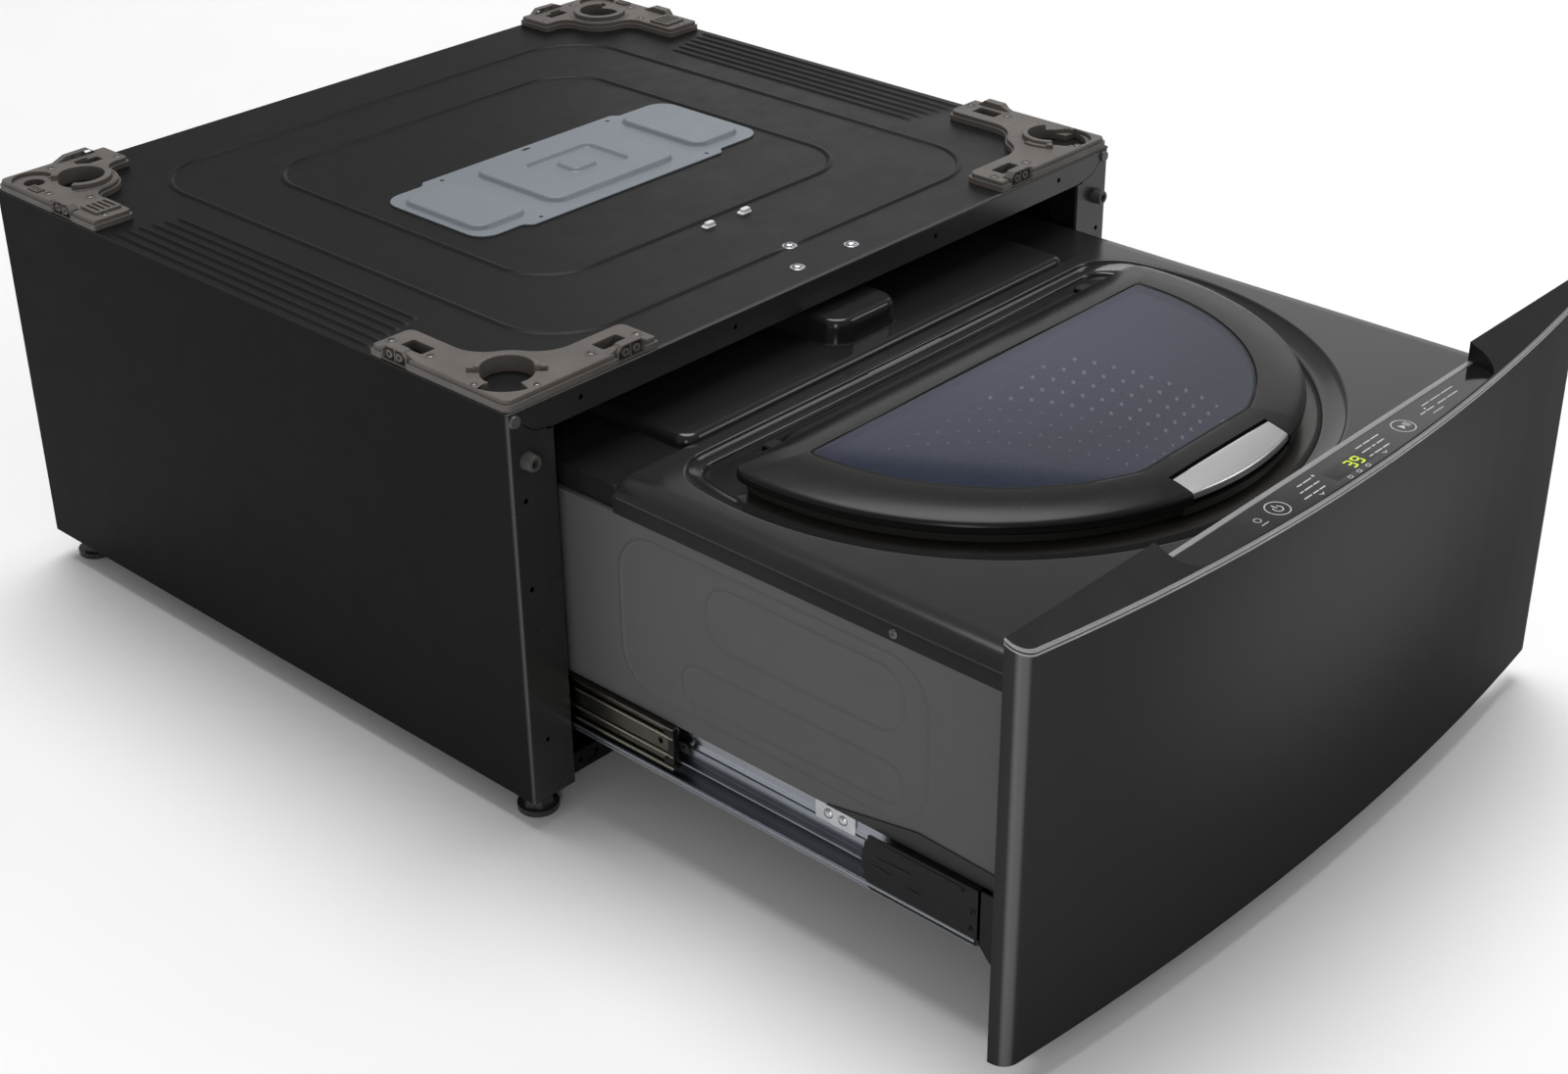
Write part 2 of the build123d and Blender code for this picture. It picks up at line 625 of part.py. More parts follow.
with BuildPart() as drawer_rear_panel:
    with Locations((0, rear_y, pan_z)):
        Box(2 * pan_x, sheet, side_z1 - pan_z, align=(Align.CENTER, Align.MAX, Align.MIN))
    for sx in (-1, 1):
        with Locations((sx * (side_x + pan_x) / 2, rear_y, side_z0)):
            Box(side_x - pan_x, sheet, side_z1 - side_z0, align=(Align.CENTER, Align.MAX, Align.MIN))
    with BuildSketch(Plane.XZ.offset(-rear_y - 1)):
        with Locations((-150, 200)):
            Circle(22)
    extrude(amount=4, mode=Mode.SUBTRACT)
keep(drawer_rear_panel.part, "drawer_rear_panel")

with BuildPart() as drawer_base_pan:
    with Locations((0, (DY + rear_y - sheet) / 2, pan_z)):
        Box(2 * pan_x, rear_y - sheet - DY, side_z0 - pan_z, align=(Align.CENTER, Align.CENTER, Align.MIN))
    with Locations((0, (DY + 1.5 + rear_y - sheet) / 2, pan_z + 1.5)):
        Box(2 * pan_x - 3, rear_y - sheet - DY - 1.5, side_z0 - pan_z, align=(Align.CENTER, Align.CENTER, Align.MIN), mode=Mode.SUBTRACT)
keep(drawer_base_pan.part, "drawer_base_pan")

# top cover: rolled side edges, D-shaped recess, loading opening, hinge bosses
tc_back = FY - 48.0
tc_x = 294.5
with BuildPart() as top_cover:
    with BuildSketch(Plane.XZ.offset(-DY)):
        with BuildLine():
            Polyline((-tc_x, side_z1), (-tc_x, 283), (-288, 289.2), (-277, deck_z), (277, deck_z), (288, 289.2), (tc_x, 283), (tc_x, side_z1), (-tc_x, side_z1))
        make_face()
    extrude(amount=-(tc_back - DY))
    # hollow underneath
    with BuildSketch(Plane.XZ.offset(-DY - 3)):
        with BuildLine():
            Polyline((-tc_x + 2.5, side_z1 - 1), (-tc_x + 2.5, 281.8), (-286.6, 286.6), (-276.4, deck_z - 3), (276.4, deck_z - 3), (286.6, 286.6), (tc_x - 2.5, 281.8), (tc_x - 2.5, side_z1 - 1), (-tc_x + 2.5, side_z1 - 1))
        make_face()
    extrude(amount=-(tc_back - DY - 6), mode=Mode.SUBTRACT)
    # block that becomes the recess walls and floor
    extrude(d_shape(recess_floor - 3.0, recess_r + 2, recess_cy, FY - 60.0, 42), amount=deck_z - 2 - recess_floor + 3)
    # sloping upper part of the recess, then the deeper part
    loft(sections=[
        d_shape(deck_z + 0.02, recess_r, recess_cy, FY - 62.0, 40).face(),
        d_shape(285.0, 246.0, recess_cy, FY - 68.0, 34).face(),
    ], mode=Mode.SUBTRACT)
    extrude(d_shape(285.02, 246.0, recess_cy, FY - 68.0, 34), amount=-(285.02 - recess_floor), mode=Mode.SUBTRACT)
    # loading opening
    extrude(d_shape(200, load_r, load_cy, load_back, 24), amount=80, mode=Mode.SUBTRACT)
    # hinge bosses
    for sx in (-1, 1):
        with Locations((sx * 182.5, hinge_y, recess_floor - 0.5)):
            Box(15, 14, 24.5, align=(Align.CENTER, Align.CENTER, Align.MIN))
    with BuildSketch(Plane.YZ.offset(-195)):
        with Locations((hinge_y, hinge_z)):
            Circle(3.06)
    extrude(amount=390, mode=Mode.SUBTRACT)
keep(top_cover.part, "top_cover")

# rear deck: raised housing with a block over the fill nozzle
with BuildPart() as rear_deck:
    with Locations((0, tc_back, 284)):
        Box(580, rear_y - tc_back, 4, align=(Align.CENTER, Align.MIN, Align.MIN))
    for sx in (-1, 1):
        with Locations((sx * 288.5, tc_back, side_z1)):
            Box(3, rear_y - tc_back, 17, align=(Align.CENTER, Align.MIN, Align.MIN))
    with Locations((0, rear_y, side_z1)):
        Box(574, 3, 16, align=(Align.CENTER, Align.MAX, Align.MIN))
    with BuildSketch(Plane.XY.offset(288)):
        with Locations((0, (FY - 50 + FY + 150) / 2)):
            RectangleRounded(444, 200, 6)
    extrude(amount=9.5)
    with BuildSketch(Plane.XY.offset(297.5)):
        with Locations((0, FY + 20)):
            RectangleRounded(78, 102, 12)
    extrude(amount=19.5, taper=6)
    # cavities underneath
    with Locations((0, FY + 50, 284)):
        Box(436, 190, 11, align=(Align.CENTER, Align.CENTER, Align.MIN), mode=Mode.SUBTRACT)
    with Locations((0, FY + 20, 294)):
        Box(64, 88, 20, align=(Align.CENTER, Align.CENTER, Align.MIN), mode=Mode.SUBTRACT)
    # room for the top cover's rear edge
    with Locations((0, tc_back - 20, 280)):
        Box(700, 20, 12, align=(Align.CENTER, Align.MIN, Align.MIN), mode=Mode.SUBTRACT)
keep(rear_deck.part, "rear_deck")

# front inner panel with the two side ears
with BuildPart() as front_inner_panel:
    with Locations((0, DY, panel_z0 + 1.5)):
        Box(cab_w - 4, 1.2, cap_under - panel_z0 - 1.5, align=(Align.CENTER, Align.MAX, Align.MIN))
    for sx in (-1, 1):
        with BuildSketch(Plane.YZ.offset(sx * 299.3)):
            with BuildLine():
                Polyline((DY, 62), (DY + 34, 62), (DY + 42.5, 72), (DY + 42.5, 116), (DY, 116), (DY, 62))
            make_face()
        extrude(amount=-sx * 1.2)
        # foot of the ear on the drawer side
        with Locations((sx * 293.1, DY, 110)):
            Box(12.4, 1.5, 6, align=(Align.CENTER, Align.MIN, Align.MIN))
keep(front_inner_panel.part, "front_inner_panel")

# bowed front panel, a shell with returns and a closed bottom; its top edge
# follows a plane that falls towards the front
with BuildPart() as front_panel:
    extrude(bow(panel_z0, 0.4, DY), amount=cap_back - panel_z0)
    extrude(bow(panel_z0 + 1.5, 1.9, DY + 5), amount=cap_back, mode=Mode.SUBTRACT)
    extrude(above(4.2), amount=cab_w / 2 + 10, both=True, mode=Mode.SUBTRACT)
    fillet(front_panel.faces().sort_by(Axis.Z)[0].outer_wire().edges().filter_by(lambda e: e.center().Y < DY - 2), 1.2)
keep(front_panel.part, "front_panel")

# two bright trim strips round the top edge
with BuildPart() as front_trim:
    for lower, upper in ((4.2, 2.7), (1.6, 0.0)):
        with BuildPart(mode=Mode.PRIVATE) as strip:
            extrude(bow(300, 0.0, DY), amount=50)
            extrude(bow(300, 1.6, DY + 5), amount=50, mode=Mode.SUBTRACT)
            extrude(above(upper), amount=cab_w / 2 + 10, both=True, mode=Mode.SUBTRACT)
            extrude(below(lower), amount=cab_w / 2 + 10, both=True, mode=Mode.SUBTRACT)
        add(strip.part)
keep(front_trim.part, "front_trim")

# front cap: wedge under the sloping plane, cut down level for the controls
cp_x = 194.0
with BuildPart() as front_cap:
    extrude(bow(cap_under, 1.9, DY), amount=40)
    with BuildPart(mode=Mode.PRIVATE) as rim:
        extrude(bow(cap_under, 1.6, DY), amount=40)
        extrude(below(4.2), amount=cab_w / 2 + 10, both=True, mode=Mode.SUBTRACT)
    add(rim.part)
    extrude(above(0.0), amount=cab_w / 2 + 10, both=True, mode=Mode.SUBTRACT)
    extrude(control_shape(cap_floor, 2.6, cp_x), amount=40, mode=Mode.SUBTRACT)
    # hollow under the two end blocks
    for sx in (-1, 1):
        with Locations((sx * (cp_x + 72), DY - 8, cap_under)):
            Box(130, 12, 8, align=(Align.CENTER, Align.CENTER, Align.MIN), mode=Mode.SUBTRACT)
keep(front_cap.part, "front_cap")

# control panel: thin glossy lens between the end blocks
disp_x, disp_y = 0.0, DY - 21.0
with BuildPart() as control_panel:
    extrude(control_shape(cap_floor, 2.9, cp_x - 0.3), amount=1.8)
    with Locations((0, DY + 50, cap_floor)):
        Box(800, 109.4, 10, mode=Mode.SUBTRACT)
    with Locations((disp_x, disp_y, cap_floor + 1.0)):
        Box(50, 13, 2, align=(Align.CENTER, Align.CENTER, Align.MIN), mode=Mode.SUBTRACT)
keep(control_panel.part, "control_panel")

with BuildPart() as display_window:
    with Locations((disp_x, disp_y, cap_floor + 1.0)):
        Box(50, 13, 0.8, align=(Align.CENTER, Align.CENTER, Align.MIN))
keep(display_window.part, "display_window")

with BuildPart() as control_trim:
    with Locations((0, DY, cap_floor)):
        Box(2 * cp_x - 0.6, 4.6, 2.6, align=(Align.CENTER, Align.MAX, Align.MIN))
    chamfer(control_trim.faces().sort_by(Axis.Z)[-1].edges().filter_by(Axis.X), 0.6)
keep(control_trim.part, "control_trim")

# slide, drawer member: web with an inner race and an outer shelf
dm_y0, dm_y1 = DY + 2.0, DY + 500.0
with BuildPart() as slide_drawer_member_left:
    with BuildSketch(Plane.XZ.offset(-dm_y0)):
        with BuildLine():
            Polyline(
                (-299.4, 70), (-pan_x, 70), (-pan_x, 113), (-288, 113), (-288, 87), (-293.6, 87), (-293.6, 85.5), (-288, 85.5),
                (-288, 71.5), (-298, 71.5), (-298, 76), (-299.4, 76), (-299.4, 70),
            )
        make_face()
    extrude(amount=-(dm_y1 - dm_y0))
    # room for the ear's front end
    with BuildSketch(Plane.YZ.offset(-302)):
        with BuildLine():
            Polyline((dm_y0 - 1, 60), (DY + 44, 60), (DY + 44, 120), (dm_y0 - 1, 120), (dm_y0 - 1, 60))
        make_face()
    extrude(amount=13.5, mode=Mode.SUBTRACT)
keep(slide_drawer_member_left.part, "slide_drawer_member_left")

with BuildPart() as slide_drawer_member_right:
    mirror(slide_drawer_member_left.part, about=Plane.YZ)
keep(slide_drawer_member_right.part, "slide_drawer_member_right")

# end covers over the front of the drawer members
ec_y0, ec_y1 = FY - 381.0, FY - 281.0
with BuildPart() as slide_end_covers:
    for sx in (-1, 1):
        with BuildSketch(Plane.YZ.offset(sx * 300.6)) as s_ec:
            with BuildLine():
                Polyline((ec_y0, 71), (ec_y1 - 6, 71), (ec_y1, 84), (ec_y1, 106), (ec_y1 - 7, 115.6), (ec_y0, 115.6), (ec_y0, 71))
            make_face()
        extrude(amount=-sx * 1.1)
        # top lip that bridges to the web
        with Locations((sx * (300.6 + pan_x) / 2, ec_y0, 116.2 - 0.6)):
            Box(300.6 - pan_x, 75, 0.4, align=(Align.CENTER, Align.MIN, Align.MIN))
        with Locations((sx * (287.25), ec_y0, 113)):
            Box(1.5, 75, 3.0, align=(Align.CENTER, Align.MIN, Align.MIN))
keep(slide_end_covers.part, "slide_end_covers")

# riveted plates on the drawer members
with BuildPart() as slide_rivet_plates:
    for sx in (-1, 1):
        with Locations((sx * 288.0, FY - 249, 104.5)):
            Box(1.4, 36, 15, align=(Align.MAX if sx < 0 else Align.MIN, Align.CENTER, Align.CENTER))
        with BuildSketch(Plane.YZ.offset(sx * 289.4)):
            with Locations((FY - 256, 105), (FY - 243, 105)):
                Circle(4.0)
        extrude(amount=sx * 2.0, taper=30)
keep(slide_rivet_plates.part, "slide_rivet_plates")

# outer tub with four suspension ears
rod_xy = [(268.0, tub_cy + 110), (-268.0, tub_cy + 110), (268.0, tub_cy - 110), (-268.0, tub_cy - 110)]
with BuildPart() as outer_tub:
    with BuildSketch(Plane.XY.offset(100)):
        with Locations((0, tub_cy)):
            Circle(tub_r)
    extrude(amount=158)
    fillet(outer_tub.faces().sort_by(Axis.Z)[0].edges(), 6)
    for rx, ry in rod_xy:
        sx = 1 if rx > 0 else -1
        with Locations((rx - sx * 34, ry, 150)):
            Box(92, 26, 8)
        with Locations((rx - sx * 48, ry, 146)):
            Box(62, 5, 34, align=(Align.CENTER, Align.CENTER, Align.MAX))
    with BuildSketch(Plane.XY.offset(104)):
        with Locations((0, tub_cy)):
            Circle(tub_r - 3)
    extrude(amount=160, mode=Mode.SUBTRACT)
    with BuildSketch(Plane.XY.offset(100)):
        with Locations((0, tub_cy)):
            Circle(28)
    extrude(amount=9)
    with BuildSketch(Plane.XY.offset(90)):
        with Locations((0, tub_cy)):
            Circle(15.06)
    extrude(amount=30, mode=Mode.SUBTRACT)
    with BuildSketch(Plane.XY.offset(140)):
        with Locations(*rod_xy):
            Circle(4.0)
    extrude(amount=20, mode=Mode.SUBTRACT)
keep(outer_tub.part, "outer_tub")

with BuildPart() as tub_cover:
    with BuildSketch(Plane.XY.offset(258)):
        with Locations((0, tub_cy)):
            Circle(tub_r + 2)
    extrude(amount=4)
    with BuildSketch(Plane.XY.offset(250)):
        with Locations((0, tub_cy)):
            Circle(tub_r + 2)
            Circle(tub_r, mode=Mode.SUBTRACT)
    extrude(amount=8)
    extrude(d_shape(240, load_r + 2, load_cy, load_back + 2, 24), amount=30, mode=Mode.SUBTRACT)
keep(tub_cover.part, "tub_cover")

# gasket ring between tub cover and top cover
with BuildPart() as tub_gasket:
    extrude(d_shape(262, load_r + 9, load_cy, load_back + 9, 30), amount=7)
    extrude(d_shape(262, load_r + 3, load_cy, load_back + 3, 25), amount=7, mode=Mode.SUBTRACT)
keep(tub_gasket.part, "tub_gasket")

# suspension rods, each with its spring sleeve under the ear
with BuildPart() as suspension_rods:
    for rx, ry in rod_xy:
        with BuildSketch(Plane.XY.offset(100)):
            with Locations((rx, ry)):
                Circle(4.0)
        extrude(amount=162)
        with BuildSketch(Plane.XY.offset(104)):
            with Locations((rx, ry)):
                Circle(13.0)
        extrude(amount=42)
        with BuildSketch(Plane.XY.offset(259)):
            with Locations((rx, ry)):
                Circle(11.0)
        extrude(amount=side_z1 - sheet - 259)
keep(suspension_rods.part, "suspension_rods")

with BuildPart() as motor_stator:
    with BuildSketch(Plane.XY.offset(80)):
        with Locations((0, tub_cy)):
            Circle(84)
            Circle(30, mode=Mode.SUBTRACT)
    extrude(amount=20)
    with BuildSketch(Plane.XY.offset(82)):
        with PolarLocations(84, 24):
            Rectangle(8, 9)
    # winding slots round the rim
    with BuildSketch(Plane.XY.offset(79)):
        with Locations((0, tub_cy)):
            with PolarLocations(82, 24):
                Rectangle(14, 5)
    extrude(amount=14, mode=Mode.SUBTRACT)
keep(motor_stator.part, "motor_stator")

with BuildPart() as drain_pump:
    with BuildSketch(Plane.XZ.offset(-(FY + 110))):
        with Locations((190, 95.5)):
            Circle(28)
    extrude(amount=-70)
    with BuildSketch(Plane.XY.offset(pan_z + 1.5)):
        with Locations((190, FY + 145)):
            Rectangle(60, 50)
    extrude(amount=20)
    with BuildSketch(Plane.XZ.offset(-(FY + 102))):
        with Locations((190, 95.5)):
            Circle(20)
    extrude(amount=-9)
keep(drain_pump.part, "drain_pump")

# ================================================================ lid
with BuildPart() as lid_frame:
    extrude(d_shape(276, lid_r, lid_cy, lid_back, 20), amount=30)
    extrude(d_shape(306, lid_r - 3, lid_cy, lid_back - 2, 18), amount=2.6, taper=40)
    # hollow underside
    extrude(d_shape(270, lid_r - 9, lid_cy, lid_back - 8, 14), amount=31, mode=Mode.SUBTRACT)
    # hinge bar along the back edge
    with Locations((0, hinge_y - 2, hinge_z)):
        Box(344, 17, 14)
    # bridge under the handle pocket
    with BuildSketch(Plane.XY.offset(287)):
        add(d_shape(287, lid_r - 1, lid_cy, FY - 343))
        with Locations((-64 - 200, FY - 350), (64 + 200, FY - 350)):
            Rectangle(400, 300, mode=Mode.SUBTRACT)
    extrude(amount=15)
    # glass rebate and ledge
    extrude(d_shape(304.6, glass_r, glass_cy, glass_back, 0, glass_front), amount=10, mode=Mode.SUBTRACT)
    extrude(d_shape(270, glass_r - 6, glass_cy, glass_back - 6, 0, glass_front + 6), amount=40, mode=Mode.SUBTRACT)
    # handle pocket, open at the front
    with Locations((0, FY - 344.4, 294)):
        Box(118, 60, 30, align=(Align.CENTER, Align.MAX, Align.MIN), mode=Mode.SUBTRACT)
    # notches that clear the hinge bosses
    for sx in (-1, 1):
        with Locations((sx * 182.5, FY - 100, 270)):
            Box(20, 24, 32, align=(Align.CENTER, Align.MAX, Align.MIN), mode=Mode.SUBTRACT)
    # bores for the hinge pins and the handle pivot
    with BuildSketch(Plane.YZ.offset(-174)):
        with Locations((hinge_y, hinge_z)):
            Circle(3.0)
    extrude(amount=16, mode=Mode.SUBTRACT)
    with BuildSketch(Plane.YZ.offset(158)):
        with Locations((hinge_y, hinge_z)):
            Circle(3.0)
    extrude(amount=16, mode=Mode.SUBTRACT)
    with BuildSketch(Plane.YZ.offset(-62)):
        with Locations((handle_y, handle_z)):
            Circle(2.06)
    extrude(amount=124, mode=Mode.SUBTRACT)
keep(lid_frame.part, "lid_frame")

with BuildPart() as lid_glass:
    extrude(d_shape(304.6, glass_r - 0.15, glass_cy, glass_back - 0.15, 0, glass_front + 0.15), amount=4)
keep(lid_glass.part, "lid_glass")

with BuildPart() as lid_hinge_pins:
    with BuildSketch(Plane.YZ.offset(-190)):
        with Locations((hinge_y, hinge_z)):
            Circle(3.0)
    extrude(amount=32)
    with BuildSketch(Plane.YZ.offset(158)):
        with Locations((hinge_y, hinge_z)):
            Circle(3.0)
    extrude(amount=32)
keep(lid_hinge_pins.part, "lid_hinge_pins")

# latch handle: curved plate with a front lip, turning on its pivot
with BuildPart() as lid_handle:
    extrude(d_shape(304.8, lid_r - 1.5, lid_cy, FY - 347.2), amount=3.6)
    with Locations((-58.4 - 300, FY - 350, 306), (58.4 + 300, FY - 350, 306)):
        Box(600, 400, 20, mode=Mode.SUBTRACT)
    with Locations((0, FY - 366, 297.5)):
        Box(100, 4, 8, align=(Align.CENTER, Align.CENTER, Align.MIN))
    with Locations((0, handle_y, handle_z - 2.8)):
        Box(108, 4, 7, align=(Align.CENTER, Align.CENTER, Align.MIN))
    with BuildSketch(Plane.YZ.offset(-61)):
        with Locations((handle_y, handle_z)):
            Circle(2.0)
    extrude(amount=122)
keep(lid_handle.part, "lid_handle")

# ================================================================ basket and pulsator
with BuildPart() as wash_basket:
    with BuildSketch(Plane.XY.offset(116)):
        with Locations((0, tub_cy)):
            Circle(basket_r)
    extrude(amount=134)
    fillet(wash_basket.faces().sort_by(Axis.Z)[0].edges(), 16)
    offset(amount=-1.5, openings=wash_basket.faces().sort_by(Axis.Z)[-1])
    with BuildSketch(Plane.XY.offset(110)):
        with Locations((0, tub_cy)):
            Circle(15)
    extrude(amount=14, mode=Mode.SUBTRACT)
    # drain perforations, three staggered rows
    for row in range(3):
        with Locations(Pos(0, tub_cy, 150 + 28 * row)):
            with PolarLocations(basket_r - 1, 20, start_angle=9 * (row % 2)):
                Cylinder(4, 12, rotation=(0, 90, 0), mode=Mode.SUBTRACT)
keep(wash_basket.part, "wash_basket")

with BuildPart() as balance_ring:
    with BuildSketch(Plane.XY.offset(232)):
        with Locations((0, tub_cy)):
            Circle(basket_r - 1.5)
            Circle(199, mode=Mode.SUBTRACT)
    extrude(amount=18)
    fillet(balance_ring.edges().filter_by(GeomType.CIRCLE).group_by(SortBy.RADIUS)[0], 3)
keep(balance_ring.part, "balance_ring")

with BuildPart() as basket_shaft:
    with BuildSketch(Plane.XY.offset(97)):
        with Locations((0, tub_cy)):
            Circle(15)
    extrude(amount=20)
    with BuildSketch(Plane.XY.offset(111)):
        with Locations((0, tub_cy)):
            Circle(70)
    extrude(amount=5)
    with BuildSketch(Plane.XY.offset(90)):
        with Locations((0, tub_cy)):
            Circle(10.06)
    extrude(amount=40, mode=Mode.SUBTRACT)
keep(basket_shaft.part, "basket_shaft")

# pulsator: dished disc with six vanes round a centre cone
with BuildPart() as pulsator:
    with BuildSketch(Plane.XZ) as s_p:
        with BuildLine():
            Polyline((10, 120), (150, 120), (160, 127), (152, 127.5), (60, 126), (30, 140), (10, 146), (0.001, 146), (0.001, 133), (10, 133), (10, 120))
        make_face()
    revolve(axis=Axis.Z)
    with BuildSketch(Plane.XY.offset(125)):
        with PolarLocations(88, 6):
            SlotOverall(124, 14)
    extrude(amount=10, taper=25)
with BuildPart() as pulsator_placed:
    add(pulsator.part.moved(Location((0, tub_cy, 0))))
keep(pulsator_placed.part, "pulsator")

# rotor cup under the stator with the inner shaft
with BuildPart() as motor_rotor:
    with BuildSketch(Plane.XY.offset(72)):
        with Locations((0, tub_cy)):
            Circle(95)
    extrude(amount=24)
    with BuildSketch(Plane.XY.offset(74.5)):
        with Locations((0, tub_cy)):
            Circle(90)
            Circle(10, mode=Mode.SUBTRACT)
    extrude(amount=30, mode=Mode.SUBTRACT)
    with BuildSketch(Plane.XY.offset(72)):
        with Locations((0, tub_cy)):
            with PolarLocations(55, 8):
                Circle(11)
    extrude(amount=4, mode=Mode.SUBTRACT)
    with BuildSketch(Plane.XY.offset(72)):
        with Locations((0, tub_cy)):
            Circle(10)
    extrude(amount=61)
keep(motor_rotor.part, "motor_rotor")

# ---------------------------------------------------------------- write every node
for part, name in made:
    export_step(part, "parts/" + name + ".step")
print(len(made), "nodes")
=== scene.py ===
import json
import math

import bmesh
import bpy
import numpy as np
from mathutils import Matrix, Vector


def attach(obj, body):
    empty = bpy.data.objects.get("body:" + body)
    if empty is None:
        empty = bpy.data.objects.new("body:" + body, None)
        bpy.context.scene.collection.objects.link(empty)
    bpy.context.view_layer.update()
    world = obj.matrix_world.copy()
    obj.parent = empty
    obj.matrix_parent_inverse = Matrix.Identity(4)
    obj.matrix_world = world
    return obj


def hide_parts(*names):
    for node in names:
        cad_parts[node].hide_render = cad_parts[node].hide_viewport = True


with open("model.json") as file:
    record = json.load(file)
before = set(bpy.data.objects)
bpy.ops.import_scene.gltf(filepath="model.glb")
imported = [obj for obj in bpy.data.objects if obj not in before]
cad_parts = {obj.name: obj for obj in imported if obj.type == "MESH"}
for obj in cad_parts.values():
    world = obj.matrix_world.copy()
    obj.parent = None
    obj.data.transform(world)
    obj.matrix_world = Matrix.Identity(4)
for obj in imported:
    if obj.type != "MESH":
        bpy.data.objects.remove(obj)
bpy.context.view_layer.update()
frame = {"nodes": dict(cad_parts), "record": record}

N = frame["nodes"]
U = 0.001                      # millimetres to metres
FY = -89.0                     # front plane of the cabinet
BY = FY + 630.0                # rear plane of the cabinet
DY = FY - 425.0                # back plane of the front panel
HX = 343.0
ZB, ZT = 24.0, 346.0

# ---------------------------------------------------------------- materials


def new_mat(name):
    m = bpy.data.materials.new(name)
    m.use_nodes = True
    nt = m.node_tree
    nt.nodes.clear()
    out = nt.nodes.new("ShaderNodeOutputMaterial")
    b = nt.nodes.new("ShaderNodeBsdfPrincipled")
    nt.links.new(b.outputs[0], out.inputs[0])
    return m, nt, b


def coords(nt, scale=(1, 1, 1)):
    tc = nt.nodes.new("ShaderNodeTexCoord")
    mp = nt.nodes.new("ShaderNodeMapping")
    mp.inputs["Scale"].default_value = scale
    nt.links.new(tc.outputs["Object"], mp.inputs["Vector"])
    return mp.outputs[0]


def noise(nt, vec, scale, detail=3.0, rough=0.5, kind="ShaderNodeTexNoise"):
    n = nt.nodes.new(kind)
    n.inputs["Scale"].default_value = scale
    if "Detail" in n.inputs:
        n.inputs["Detail"].default_value = detail
    if "Roughness" in n.inputs:
        n.inputs["Roughness"].default_value = rough
    nt.links.new(vec, n.inputs["Vector"])
    return n


def ramp(nt, fac, a, b, lo=0.3, hi=0.7):
    r = nt.nodes.new("ShaderNodeValToRGB")
    r.color_ramp.elements[0].position = lo
    r.color_ramp.elements[1].position = hi
    r.color_ramp.elements[0].color = (*a, 1)
    r.color_ramp.elements[1].color = (*b, 1)
    nt.links.new(fac, r.inputs[0])
    return r.outputs[0]


def spread(nt, fac, lo, hi, a=0.3, b=0.7):
    r = nt.nodes.new("ShaderNodeMapRange")
    r.inputs[1].default_value, r.inputs[2].default_value = a, b
    r.inputs[3].default_value, r.inputs[4].default_value = lo, hi
    nt.links.new(fac, r.inputs[0])
    return r.outputs[0]


def bump(nt, height, strength, distance, into=None):
    n = nt.nodes.new("ShaderNodeBump")
    n.inputs["Strength"].default_value = strength
    n.inputs["Distance"].default_value = distance
    nt.links.new(height, n.inputs["Height"])
    if into is not None:
        nt.links.new(into, n.inputs["Normal"])
    return n.outputs[0]


